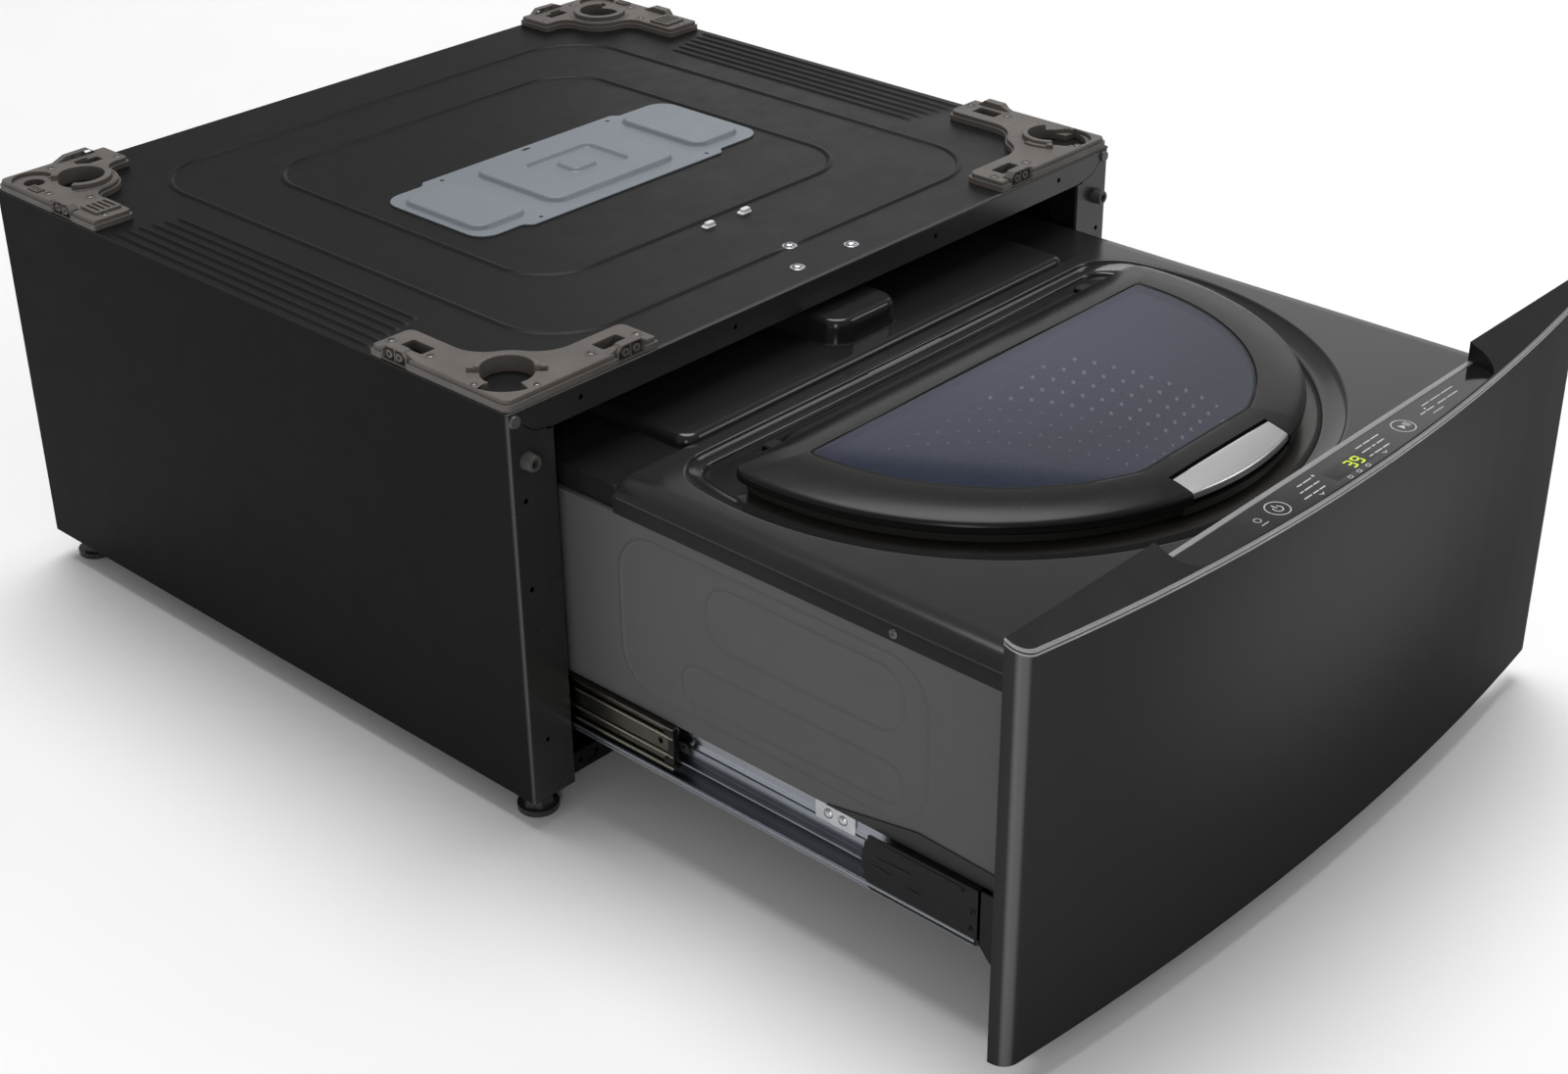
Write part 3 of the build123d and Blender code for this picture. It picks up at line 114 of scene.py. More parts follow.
def surface(name, dark, light, rough=(0.35, 0.5), metal=0.0, spec=0.5, big=6.0, fine=700.0,
            grain=0.04, grain_d=0.0002, coat=0.0, coat_rough=0.1, stretch=(1, 1, 1), aniso=0.0, edge=1.0, painted_glow=0.0, painted_edge_highlight=0.0, painted_highlight_patch=None, fade=None):
    """Two tones mixed by a broad noise, roughness mixed by a second one, fine grain as bump."""
    m, nt, b = new_mat(name)
    v = coords(nt, stretch)
    flat = coords(nt)
    n1 = noise(nt, flat, big, 4.0)
    tone = ramp(nt, n1.outputs["Fac"], dark, light)
    if fade:
        # painted shade: the tone is scaled evenly along the depth of the part, (y0, y1, share at y0, share at y1)
        fx = nt.nodes.new("ShaderNodeSeparateXYZ")
        nt.links.new(flat, fx.inputs[0])
        sh = spread(nt, fx.outputs[1], fade[2], fade[3], fade[0], fade[1])
        vs = nt.nodes.new("ShaderNodeVectorMath")
        vs.operation = "SCALE"
        nt.links.new(tone, vs.inputs[0])
        nt.links.new(sh, vs.inputs["Scale"])
        tone = vs.outputs[0]
    if painted_highlight_patch:
        # painted highlight: a broad lighter patch, (centre, radii, tone)
        hm = nt.nodes.new("ShaderNodeMapping")
        hm.vector_type = "TEXTURE"
        hm.inputs["Location"].default_value = painted_highlight_patch[0]
        hm.inputs["Scale"].default_value = painted_highlight_patch[1]
        nt.links.new(flat, hm.inputs["Vector"])
        hg = nt.nodes.new("ShaderNodeTexGradient")
        hg.gradient_type = "SPHERICAL"
        nt.links.new(hm.outputs[0], hg.inputs[0])
        hk = nt.nodes.new("ShaderNodeMapRange")
        hk.interpolation_type = "SMOOTHERSTEP"
        hk.inputs[2].default_value = 1.0
        nt.links.new(hg.outputs["Fac"], hk.inputs[0])
        hx = nt.nodes.new("ShaderNodeMix")
        hx.data_type = "RGBA"
        hx.inputs[7].default_value = (*painted_highlight_patch[2], 1)
        nt.links.new(hk.outputs[0], hx.inputs[0])
        nt.links.new(tone, hx.inputs[6])
        tone = hx.outputs[2]
    if painted_edge_highlight:
        # painted highlight: rolled upright edges are painted lighter than the flats, picked by the way they face
        tc = nt.nodes.new("ShaderNodeTexCoord")
        ab = nt.nodes.new("ShaderNodeVectorMath")
        ab.operation = "ABSOLUTE"
        dt = nt.nodes.new("ShaderNodeVectorMath")
        dt.operation = "DOT_PRODUCT"
        dt.inputs[1].default_value = (0.71, 0.704, 0.0)
        nt.links.new(tc.outputs["Normal"], ab.inputs[0])
        nt.links.new(ab.outputs["Vector"], dt.inputs[0])
        k = nt.nodes.new("ShaderNodeMapRange")
        k.interpolation_type = "SMOOTHSTEP"
        k.inputs[1].default_value, k.inputs[2].default_value = 0.915, 1.0
        nt.links.new(dt.outputs["Value"], k.inputs[0])
        mx = nt.nodes.new("ShaderNodeMix")
        mx.data_type = "RGBA"
        mx.inputs[7].default_value = (painted_edge_highlight, painted_edge_highlight * 0.985, painted_edge_highlight * 0.985, 1)
        nt.links.new(k.outputs[0], mx.inputs[0])
        nt.links.new(tone, mx.inputs[6])
        tone = mx.outputs[2]
    nt.links.new(tone, b.inputs["Base Color"])
    n2 = noise(nt, v, big * 7, 5.0, 0.6)
    nt.links.new(spread(nt, n2.outputs["Fac"], rough[0], rough[1]), b.inputs["Roughness"])
    n3 = noise(nt, v, fine, 2.0, 0.5)
    nt.links.new(bump(nt, n3.outputs["Fac"], grain, grain_d), b.inputs["Normal"])
    b.inputs["Metallic"].default_value = metal
    b.inputs["Specular IOR Level"].default_value = spec
    b.inputs["Coat Weight"].default_value = coat
    b.inputs["Coat Roughness"].default_value = coat_rough
    if aniso:
        tg = nt.nodes.new("ShaderNodeTangent")
        tg.direction_type = "RADIAL"
        tg.axis = "Z"
        nt.links.new(tg.outputs[0], b.inputs["Tangent"])
        b.inputs["Anisotropic"].default_value = aniso
        b.inputs["Anisotropic Rotation"].default_value = 0.25
    if edge < 1.0:
        b.inputs["Specular Tint"].default_value = (edge, edge, edge, 1)
    # painted glow: the surface gives off light though it is no lamp
    if painted_glow:
        b.inputs["Emission Color"].default_value = (0.86, 0.90, 1.0, 1)
        b.inputs["Emission Strength"].default_value = painted_glow
    return m


M = {}
# fade on the cabinet paints is painted shade: lighter at the front, darker towards the back
M["body_black"] = surface("paint_black", (0.0060, 0.0060, 0.0061), (0.0072, 0.0072, 0.0073), (0.36, 0.44), spec=0.035, fine=900, grain=0.06, fade=(-0.09, 0.54, 1.35, 0.6))
M["top_charcoal"] = surface("paint_top", (0.0086, 0.0086, 0.0086), (0.0102, 0.0102, 0.0102), (0.34, 0.42), spec=0.09, fine=900, grain=0.05, fade=(-0.09, 0.54, 1.2, 0.45))
# lighter, glossier copy of the cabinet paint on the front flanges: painted light
M["flange_painted_light"] = surface("paint_flange", (0.0170, 0.0170, 0.0166), (0.0200, 0.0200, 0.0195), (0.26, 0.34), spec=0.36, fine=900, grain=0.03)
# painted highlight on the rounded front bends of the sheets
M["painted_bend_highlight"] = surface("painted_bend_highlight_mat", (0.060, 0.060, 0.059), (0.072, 0.072, 0.071), (0.26, 0.34), spec=0.4, fine=900, grain=0.02)
M["bracket_taupe"] = surface("moulded_taupe", (0.104, 0.092, 0.084), (0.132, 0.118, 0.108), (0.45, 0.6), spec=0.25, big=30, fine=1600, grain=0.25)
M["fastener_steel"] = surface("zinc_fastener", (0.46, 0.47, 0.49), (0.60, 0.61, 0.63), (0.2, 0.34), metal=1.0, big=60, fine=2500, grain=0.05)
M["fastener_dark"] = surface("dark_fastener", (0.10, 0.095, 0.09), (0.15, 0.145, 0.14), (0.25, 0.4), metal=0.9, big=60, fine=2500, grain=0.05)
M["cover_grey"] = surface("cover_paint", (0.170, 0.192, 0.215), (0.190, 0.213, 0.238), (0.36, 0.46), spec=0.35, fine=900, grain=0.08)
M["clip_white"] = surface("clip_plastic", (0.62, 0.62, 0.61), (0.72, 0.72, 0.71), (0.4, 0.5), big=50)
M["print_grey"] = surface("print_ink", (0.46, 0.46, 0.46), (0.54, 0.54, 0.54), (0.5, 0.6), spec=0.2, big=50)
M["stud_grey"] = surface("stud_plastic", (0.05, 0.05, 0.048), (0.07, 0.07, 0.067), (0.4, 0.5), spec=0.3, big=50)
M["outlet_black"] = surface("black_plastic", (0.0040, 0.0040, 0.0040), (0.0065, 0.0065, 0.0065), (0.30, 0.42), spec=0.15, big=40, fine=1500, grain=0.10)
M["slide_zinc"] = surface("zinc_slide", (0.26, 0.28, 0.31), (0.31, 0.33, 0.365), (0.25, 0.265), metal=1.0, big=12, fine=300, grain=0.001, stretch=(1, 0.05, 1))
M["slide_yellow"] = surface("passivated_slide", (0.28, 0.262, 0.215), (0.34, 0.32, 0.265), (0.22, 0.30), metal=1.0, big=25, fine=600, grain=0.008, stretch=(1, 0.04, 1))
# dark copy of the passivated steel for the middle members' faces: painted shade
M["slide_dark"] = surface("passivated_painted_shade", (0.075, 0.071, 0.060), (0.100, 0.095, 0.080), (0.24, 0.32), metal=1.0, big=25, fine=600, grain=0.008, stretch=(1, 0.04, 1))
M["gusset_grey"] = surface("gusset_paint", (0.026, 0.026, 0.026), (0.030, 0.030, 0.030), (0.4, 0.5), spec=0.2)
M["foot_rubber"] = surface("foot_plastic", (0.022, 0.022, 0.023), (0.032, 0.032, 0.033), (0.22, 0.36), spec=0.5, big=60, fine=1200, grain=0.15)
M["drawer_grey"] = surface("drawer_paint", (0.084, 0.084, 0.084), (0.093, 0.093, 0.093), (0.45, 0.55), spec=0.22, fine=900, grain=0.08)
M["tray_black"] = surface("tray_gloss", (0.0140, 0.0136, 0.0141), (0.0165, 0.0161, 0.0167), (0.15, 0.19), spec=0.33, fine=250, grain=0.003, coat=0.10, coat_rough=0.05)
M["deck_gloss"] = surface("deck_gloss", (0.0120, 0.0119, 0.0115), (0.0150, 0.0149, 0.0144), (0.16, 0.22), spec=0.30, fine=250, grain=0.004, coat=0.08, coat_rough=0.05)
M["inner_panel_black"] = surface("inner_black", (0.006, 0.006, 0.006), (0.009, 0.009, 0.009), (0.5, 0.6), spec=0.2)
# the front panel carries painted highlights: lighter rolled upright edges and a broad lighter patch towards the top
M["front_dark_steel"] = surface("dark_steel", (0.0330, 0.0320, 0.0323), (0.0355, 0.0345, 0.0348), (0.34, 0.37), metal=0.8, spec=0.2, big=3, fine=260, grain=0.003, stretch=(2, 2, 0.03), aniso=0.75, edge=0.36, painted_edge_highlight=0.12,
                                painted_highlight_patch=((0.03, -0.55, 0.27), (0.36, 0.4, 0.22), (0.080, 0.077, 0.078)))
M["trim_bright"] = surface("bright_trim", (0.42, 0.415, 0.415), (0.50, 0.495, 0.495), (0.28, 0.34), metal=0.8, big=30, grain=0.003)
M["trim_dark"] = surface("edge_trim", (0.12, 0.117, 0.117), (0.16, 0.157, 0.157), (0.22, 0.34), metal=1.0, big=30)
M["cap_black"] = surface("cap_gloss", (0.012, 0.0118, 0.0118), (0.015, 0.0148, 0.0148), (0.26, 0.34), spec=0.35, fine=400, grain=0.015)
M["control_black"] = surface("control_gloss", (0.007, 0.007, 0.0075), (0.010, 0.010, 0.0105), (0.08, 0.13), spec=0.4, fine=200, grain=0.004, coat=0.15)
M["display_dark"] = surface("display_gloss", (0.002, 0.002, 0.002), (0.004, 0.004, 0.004), (0.06, 0.1), spec=0.35)
M["tub_plastic"] = surface("tub_plastic", (0.30, 0.31, 0.33), (0.38, 0.39, 0.41), (0.4, 0.5), big=20)
M["gasket_rubber"] = surface("gasket_rubber", (0.035, 0.035, 0.036), (0.05, 0.05, 0.052), (0.5, 0.65), big=30)
M["motor_iron"] = surface("motor_iron", (0.09, 0.09, 0.095), (0.14, 0.14, 0.145), (0.4, 0.6), metal=0.7, big=40)
M["lid_black"] = surface("lid_satin", (0.0112, 0.0108, 0.0103), (0.0130, 0.0126, 0.0120), (0.24, 0.28), spec=0.17, fine=500, grain=0.003)
# lighter brown on the shaded recess floor and under the lid rim: painted light
M["recess_painted_light"] = surface("recess_painted_light", (0.030, 0.0285, 0.0255), (0.036, 0.0343, 0.0305), (0.22, 0.28), spec=0.30, fine=500, grain=0.003)
M["trim_line"] = surface("line_trim", (0.28, 0.278, 0.278), (0.33, 0.328, 0.328), (0.34, 0.40), metal=0.6, spec=0.4, big=30, grain=0.002)
M["rivet_grey"] = surface("rivet_grey", (0.060, 0.060, 0.058), (0.080, 0.080, 0.077), (0.30, 0.40), spec=0.4, big=50)
M["handle_silver"] = surface("handle_satin", (0.56, 0.555, 0.56), (0.62, 0.615, 0.62), (0.28, 0.33), metal=0.8, big=8, fine=500, grain=0.003, stretch=(0.05, 1, 1))
M["basket_steel"] = surface("basket_steel", (0.42, 0.44, 0.47), (0.54, 0.56, 0.59), (0.22, 0.34), metal=0.9, big=15, fine=500, grain=0.03, stretch=(1, 1, 8))
# near-white, glowing dots on the basket wall: painted highlights and painted glow
M["basket_dots"] = surface("basket_dots", (0.78, 0.80, 0.84), (0.85, 0.87, 0.91), (0.3, 0.4), big=80, painted_glow=0.55)
M["pulsator_grey"] = surface("pulsator_plastic", (0.16, 0.175, 0.20), (0.20, 0.215, 0.24), (0.3, 0.42), big=20)


def glass_mat():
    m, nt, b = new_mat("smoked_glass")
    v = coords(nt)
    n = noise(nt, v, 8.0, 2.0)
    tint = ramp(nt, n.outputs["Fac"], (0.008, 0.014, 0.038), (0.011, 0.018, 0.044))
    # painted highlight: a broad lighter, bluer patch on the glass
    hm = nt.nodes.new("ShaderNodeMapping")
    hm.vector_type = "TEXTURE"
    hm.inputs["Location"].default_value = (0.05, -0.225, 0.306)
    hm.inputs["Scale"].default_value = (0.24, 0.15, 0.4)
    nt.links.new(v, hm.inputs["Vector"])
    hg = nt.nodes.new("ShaderNodeTexGradient")
    hg.gradient_type = "SPHERICAL"
    nt.links.new(hm.outputs[0], hg.inputs[0])
    hx = nt.nodes.new("ShaderNodeMix")
    hx.data_type = "RGBA"
    hx.inputs[7].default_value = (0.036, 0.045, 0.082, 1)
    nt.links.new(hg.outputs["Fac"], hx.inputs[0])
    nt.links.new(tint, hx.inputs[6])
    nt.links.new(hx.outputs[2], b.inputs["Base Color"])
    n2 = noise(nt, v, 40.0, 3.0)
    nt.links.new(spread(nt, n2.outputs["Fac"], 0.045, 0.06), b.inputs["Roughness"])
    b.inputs["Alpha"].default_value = 0.62
    b.inputs["Specular IOR Level"].default_value = 0.42
    return m


M["lid_glass"] = glass_mat()


def digit_mat():
    m, nt, b = new_mat("digit_glow")
    v = coords(nt)
    n = noise(nt, v, 300.0, 2.0)
    nt.links.new(ramp(nt, n.outputs["Fac"], (0.42, 0.50, 0.02), (0.50, 0.60, 0.03)), b.inputs["Base Color"])
    b.inputs["Roughness"].default_value = 0.5
    b.inputs["Emission Color"].default_value = (0.62, 0.80, 0.02, 1)
    b.inputs["Emission Strength"].default_value = 0.55
    return m


M["digit_green"] = digit_mat()

# ---------------------------------------------------------------- modelling helpers (millimetres)
C = bpy.context.scene.collection


def clean(v, f):
    """Weld, drop degenerate faces and turn the normals outwards; returns vertices and faces."""
    me = bpy.data.meshes.new("t")
    me.from_pydata([tuple(map(float, p)) for p in v], [], [tuple(q) for q in f])
    bm = bmesh.new()
    bm.from_mesh(me)
    bmesh.ops.remove_doubles(bm, verts=bm.verts, dist=0.0015)
    bmesh.ops.dissolve_degenerate(bm, edges=bm.edges, dist=0.001)
    bmesh.ops.recalc_face_normals(bm, faces=bm.faces)
    bm.verts.index_update()
    vv = [tuple(x.co) for x in bm.verts]
    ff = [tuple(x.index for x in q.verts) for q in bm.faces]
    bm.free()
    bpy.data.meshes.remove(me)
    return vv, ff


class Soup:
    """Closed shells that make up one piece."""

    def __init__(self):
        self.v, self.f, self.m = [], [], []

    def add(self, vf, mat=0):
        v, f = vf
        k = len(self.v)
        self.v += [tuple(map(float, p)) for p in v]
        self.f += [tuple(i + k for i in q) for q in f]
        self.m += [mat] * len(f)
        return self

    def mapped(self, fn, flip=False):
        s = Soup()
        s.v = [fn(*p) for p in self.v]
        s.f = [tuple(reversed(q)) for q in self.f] if flip else list(self.f)
        s.m = list(self.m)
        return s

    def mirror(self):
        return self.mapped(lambda x, y, z: (-x, y, z), True)

    def join(self, other):
        k = len(self.v)
        self.v += other.v
        self.f += [tuple(i + k for i in q) for q in other.f]
        self.m += other.m
        return self


def piece(name, soup, slots, body, angle=38, stands_for=(), bevel=0.0, seg=2, bevel_angle=40, paint=None, slot=None):
    slots = [slots] if isinstance(slots, str) else slots
    me = bpy.data.meshes.new(name)
    me.from_pydata([(x * U, y * U, z * U) for x, y, z in soup.v], [], soup.f)
    for s in slots:
        me.materials.append(M[s])
    for p, m in zip(me.polygons, soup.m):
        p.material_index = m
        p.use_smooth = True
    if paint:
        for p in me.polygons:
            p.material_index = paint(p.center / U, p.normal)
    me.set_sharp_from_angle(angle=math.radians(angle))
    o = bpy.data.objects.new(name, me)
    C.objects.link(o)
    if bevel:
        b = o.modifiers.new("bevel", "BEVEL")
        b.width = bevel * U
        b.segments = seg
        b.limit_method = "ANGLE"
        b.angle_limit = math.radians(bevel_angle)
        b.use_clamp_overlap = True
    n = o.modifiers.new("normals", "WEIGHTED_NORMAL")
    n.keep_sharp = True
    n.weight = 70
    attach(o, body)
    slot or slots[0]
    if stands_for:
        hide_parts(*stands_for)
    return o


def loft(rings, wrap=False, cap0=False, cap1=False):
    n = len(rings[0])
    v = [tuple(p) for r in rings for p in r]
    f = []
    R = len(rings)
    for i in range(R if wrap else R - 1):
        a, b = i * n, ((i + 1) % R) * n
        for j in range(n):
            k = (j + 1) % n
            f.append((a + j, a + k, b + k, b + j))
    if cap0:
        f.append(tuple(range(n - 1, -1, -1)))
    if cap1:
        f.append(tuple((R - 1) * n + j for j in range(n)))
    return clean(v, f)


def circle(cx, cy, r, n=48, a0=0.0, a1=360.0):
    full = abs(a1 - a0 - 360) < 1e-6
    m = n if full else n + 1
    return [(cx + r * math.cos(math.radians(a0 + (a1 - a0) * i / n)), cy + r * math.sin(math.radians(a0 + (a1 - a0) * i / n))) for i in range(m)]


def rrect(cx, cy, w, h, r, n=8):
    r = min(r, w / 2 - 0.01, h / 2 - 0.01)
    out = []
    for sx, sy, a in ((1, 1, 0), (-1, 1, 90), (-1, -1, 180), (1, -1, 270)):
        out += circle(cx + sx * (w / 2 - r), cy + sy * (h / 2 - r), r, n, a, a + 90)
    return out


def rounded(pts, n=6):
    """Polygon with corner radii: pts holds (x, y, r)."""
    out = []
    k = len(pts)
    for i in range(k):
        p = np.array(pts[i][:2], float)
        r = pts[i][2]
        a = np.array(pts[i - 1][:2], float) - p
        b = np.array(pts[(i + 1) % k][:2], float) - p
        if r <= 0:
            out.append(tuple(p))
            continue
        la, lb = np.linalg.norm(a), np.linalg.norm(b)
        a, b = a / la, b / lb
        ang = math.acos(max(-1, min(1, float(a @ b))))
        t = min(r / math.tan(ang / 2), 0.49 * la, 0.49 * lb)
        r = t * math.tan(ang / 2)
        c = p + (a + b) / np.linalg.norm(a + b) * (r / math.sin(ang / 2))
        s, e = p + a * t - c, p + b * t - c
        a0 = math.atan2(s[1], s[0])
        d = math.atan2(e[1], e[0]) - a0
        while d > math.pi:
            d -= 2 * math.pi
        while d < -math.pi:
            d += 2 * math.pi
        for j in range(n + 1):
            w = a0 + d * j / n
            out.append((c[0] + r * math.cos(w), c[1] + r * math.sin(w)))
    return out


def plate(outlines, z0, z1, bevel=0.4, res=2, put=None):
    """Flat plate with round edges, from an outline and its holes."""
    cu = bpy.data.curves.new("t", "CURVE")
    cu.dimensions = "2D"
    cu.fill_mode = "BOTH"
    for pts in outlines:
        sp = cu.splines.new("POLY")
        sp.points.add(len(pts) - 1)
        for p, q in zip(sp.points, pts):
            p.co = (q[0], q[1], 0, 1)
        sp.use_cyclic_u = True
    bevel = min(bevel, (z1 - z0) / 2 - 0.01)
    cu.extrude = (z1 - z0) / 2 - bevel
    cu.bevel_depth = bevel
    cu.bevel_resolution = res
    cu.offset = -bevel
    o = bpy.data.objects.new("t", cu)
    me = bpy.data.meshes.new_from_object(o)
    mid = (z0 + z1) / 2
    v = [(p.co.x, p.co.y, p.co.z + mid) for p in me.vertices]
    if put:
        v = [put(*p) for p in v]
    f = [tuple(p.vertices) for p in me.polygons]
    bpy.data.objects.remove(o)
    bpy.data.curves.remove(cu)
    bpy.data.meshes.remove(me)
    return clean(v, f)


def prism(outline, a, b, put=lambda x, y, z: (x, y, z)):
    r0 = [put(x, y, a) for x, y in outline]
    r1 = [put(x, y, b) for x, y in outline]
    return loft([r0, r1], cap0=True, cap1=True)


XZ = lambda x, z, y: (x, y, z)          # outline in x and z, extruded along y
YZ = lambda y, z, x: (x, y, z)          # outline in y and z, extruded along x


def rbox(x0, x1, y0, y1, z0, z1, r=0.5, seg=3):
    bm = bmesh.new()
    bmesh.ops.create_cube(bm, size=1)
    for v in bm.verts:
        v.co = Vector((
            (x0 + x1) / 2 + v.co.x * (x1 - x0), (y0 + y1) / 2 + v.co.y * (y1 - y0), (z0 + z1) / 2 + v.co.z * (z1 - z0)
        ))
    bmesh.ops.bevel(bm, geom=list(bm.edges), offset=r, segments=seg, profile=0.5, affect="EDGES", clamp_overlap=True)
    bmesh.ops.recalc_face_normals(bm, faces=bm.faces)
    bm.verts.index_update()
    v = [tuple(q.co) for q in bm.verts]
    f = [tuple(q.index for q in p.verts) for p in bm.faces]
    bm.free()
    return v, f


def lathe(profile, n=32, at=(0, 0, 0), axis="z", wrap=False):
    rings = []
    for r, h in profile:
        ring = []
        for i in range(n):
            a = 2 * math.pi * i / n
            c, s = r * math.cos(a), r * math.sin(a)
            q = {"z": (c, s, h), "-z": (c, s, -h), "x": (h, c, s), "-x": (-h, c, s), "y": (c, h, s), "-y": (c, -h, s)}[axis]
            ring.append((q[0] + at[0], q[1] + at[1], q[2] + at[2]))
        rings.append(ring)
    return loft(rings, wrap=wrap)


def boolean(vf, cutters, op="DIFFERENCE"):
    def mk(vf):
        me = bpy.data.meshes.new("b")
        me.from_pydata(vf[0], [], vf[1])
        o = bpy.data.objects.new("b", me)
        C.objects.link(o)
        return o
    base = mk(vf)
    tools = [mk(c) for c in cutters]
    for t in tools:
        m = base.modifiers.new("b", "BOOLEAN")
        m.operation = op
        m.object = t
        m.solver = "EXACT"
    bpy.context.view_layer.update()
    dg = bpy.context.evaluated_depsgraph_get()
    me = bpy.data.meshes.new_from_object(base.evaluated_get(dg))
    v = [tuple(p.co) for p in me.vertices]
    f = [tuple(p.vertices) for p in me.polygons]
    for o in tools + [base]:
        d = o.data
        bpy.data.objects.remove(o)
        bpy.data.meshes.remove(d)
    bpy.data.meshes.remove(me)
    return clean(v, f)


def bead(path, width, height, sink=0.35, closed=True, n=8, put=lambda x, y, z: (x, y, z), z=0.0, fade=None):
    """Pressed bead along a path: a smooth hump that runs out flat at both sides."""
    P = np.array(path, float)
    k = len(P)
    rings = []
    for i in range(k):
        if closed:
            t = P[(i + 1) % k] - P[i - 1]
        else:
            t = P[min(i + 1, k - 1)] - P[max(i - 1, 0)]
        t = t / (np.linalg.norm(t) + 1e-12)
        nrm = np.array([-t[1], t[0]])
        g = 1.0
        if not closed:
            end = min(i, k - 1 - i)
            g = [0.02, 0.45, 0.75, 0.92][end] if end < 4 else 1.0
        h = height * (fade(P[i]) if fade else 1.0) * g
        ring = []
        for j in range(n + 1):
            s = j / n
            q = P[i] + nrm * (s - 0.5) * width * (0.35 + 0.65 * g)
            ring.append(put(q[0], q[1], z - 0.02 + h * (0.5 - 0.5 * math.cos(2 * math.pi * s))))
        q = P[i] + nrm * 0.5 * width * (0.35 + 0.65 * g)
        ring.append(put(q[0], q[1], z - sink))
        q = P[i] - nrm * 0.5 * width * (0.35 + 0.65 * g)
        ring.append(put(q[0], q[1], z - sink))
        rings.append(ring)
    return loft(rings, wrap=closed, cap0=not closed, cap1=not closed)


def resample(path, step, closed=True):
    P = np.array(path, float)
    if closed:
        P = np.vstack([P, P[:1]])
    d = np.r_[0, np.cumsum(np.linalg.norm(np.diff(P, axis=0), axis=1))]
    n = max(4, int(round(d[-1] / step)))
    t = np.linspace(0, d[-1], n + 1)
    Q = np.stack([np.interp(t, d, P[:, 0]), np.interp(t, d, P[:, 1])], 1)
    return Q[:-1] if closed else Q


def cross_screw(r, h, at, axis="z", n=28):
    """Pan head with a cross recess; at is the seat of the head."""
    prof = [(0, h), (0.35 * r, 0.98 * h), (0.62 * r, 0.86 * h), (0.85 * r, 0.62 * h), (0.97 * r, 0.3 * h), (r, 0.12 * h), (r, -0.35), (0, -0.35)]
    v, f = SCREW.setdefault("dome", None) or (None, None)
    if v is None:
        dome = lathe([(0, 1), (0.35, 0.98), (0.62, 0.86), (0.85, 0.62), (0.97, 0.3), (1, 0.12), (1, -0.2), (0, -0.2)], n)
        w = 0.11
        cut = []
        for a, b in ((0.62, w), (w, 0.62)):
            lo = [(-a * 0.45, -b, 0.35), (a * 0.45, -b, 0.35), (a * 0.45, b, 0.35), (-a * 0.45, b, 0.35)] if a > b else \
                 [(-a, -b * 0.45, 0.35), (a, -b * 0.45, 0.35), (a, b * 0.45, 0.35), (-a, b * 0.45, 0.35)]
            hi = [(-a, -b, 1.2), (a, -b, 1.2), (a, b, 1.2), (-a, b, 1.2)]
            cut.append(loft([lo, hi], cap0=True, cap1=True))
        SCREW["dome"] = boolean(dome, cut)
        v, f = SCREW["dome"]
    out = []
    turn = (at[0] * 7.3 + at[1] * 3.1) % 1.5
    ct, st = math.cos(turn), math.sin(turn)
    for x, y, z in v:
        x, y = x * ct - y * st, x * st + y * ct
        x, y, z = x * r, y * r, z * h
        q = {"z": (x, y, z), "-x": (-z, x, y), "x": (z, x, y), "-y": (x, -z, y)}[axis]
        out.append((q[0] + at[0], q[1] + at[1], q[2] + at[2]))
    return clean(out, f)


SCREW = {}


def d_poly(r, cy, back, corner=0.0, front=None, fcorner=0.0, step=0.4):
    """Outline of a disc cut straight at the back, and at the front if given; dense points."""
    def corner_pts(line, c, sgn):
        # sgn +1 for the back line, -1 for the front line; right side
        if c <= 0:
            x = math.sqrt(r * r - (line - cy) ** 2)
            return [(x, line)], math.atan2(line - cy, x), x
        yc = line - sgn * c
        xc = math.sqrt((r - c) ** 2 - (yc - cy) ** 2)
        a = math.atan2(yc - cy, xc)
        pts = circle(xc, yc, c, 40, math.degrees(a), 90.0 * sgn)
        return pts, a, xc
    cb, ab, xb = corner_pts(back, corner, 1)
    if front is None:
        a_start = -math.pi / 2
        right_low = []
    else:
        cf, af, xf = corner_pts(front, fcorner, -1)
        a_start = af
        right_low = list(reversed(cf))
    n = max(8, int(r * (ab - a_start) / step))
    arc = [(r * math.cos(a_start + (ab - a_start) * i / n), cy + r * math.sin(a_start + (ab - a_start) * i / n)) for i in range(n + 1)]
    right = right_low + arc + cb
    left = [(-x, y) for x, y in reversed(right)]
    return np.array(right + left)


def r_of(poly, th, c):
    """Distance from c to a star-shaped outline along the angles th."""
    P = resample(poly, 0.4)
    d = P - np.array(c)
    a = np.arctan2(d[:, 1], d[:, 0])
    o = np.argsort(a)
    return np.interp(th, a[o], np.hypot(d[o, 0], d[o, 1]), period=2 * math.pi)


def rect_r(th, c, x0, x1, y0, y1):
    cs, sn = np.cos(th), np.sin(th)
    with np.errstate(divide="ignore", invalid="ignore"):
        tx = np.where(cs > 1e-9, (x1 - c[0]) / cs, np.where(cs < -1e-9, (x0 - c[0]) / cs, np.inf))
        ty = np.where(sn > 1e-9, (y1 - c[1]) / sn, np.where(sn < -1e-9, (y0 - c[1]) / sn, np.inf))
    return np.minimum(tx, ty)


def ring_at(c, th, r, z):
    z = np.broadcast_to(z, th.shape)
    return np.stack([c[0] + r * np.cos(th), c[1] + r * np.sin(th), z], 1)


# ---------------------------------------------------------------- cabinet: top panel
def fold(path):
    return path


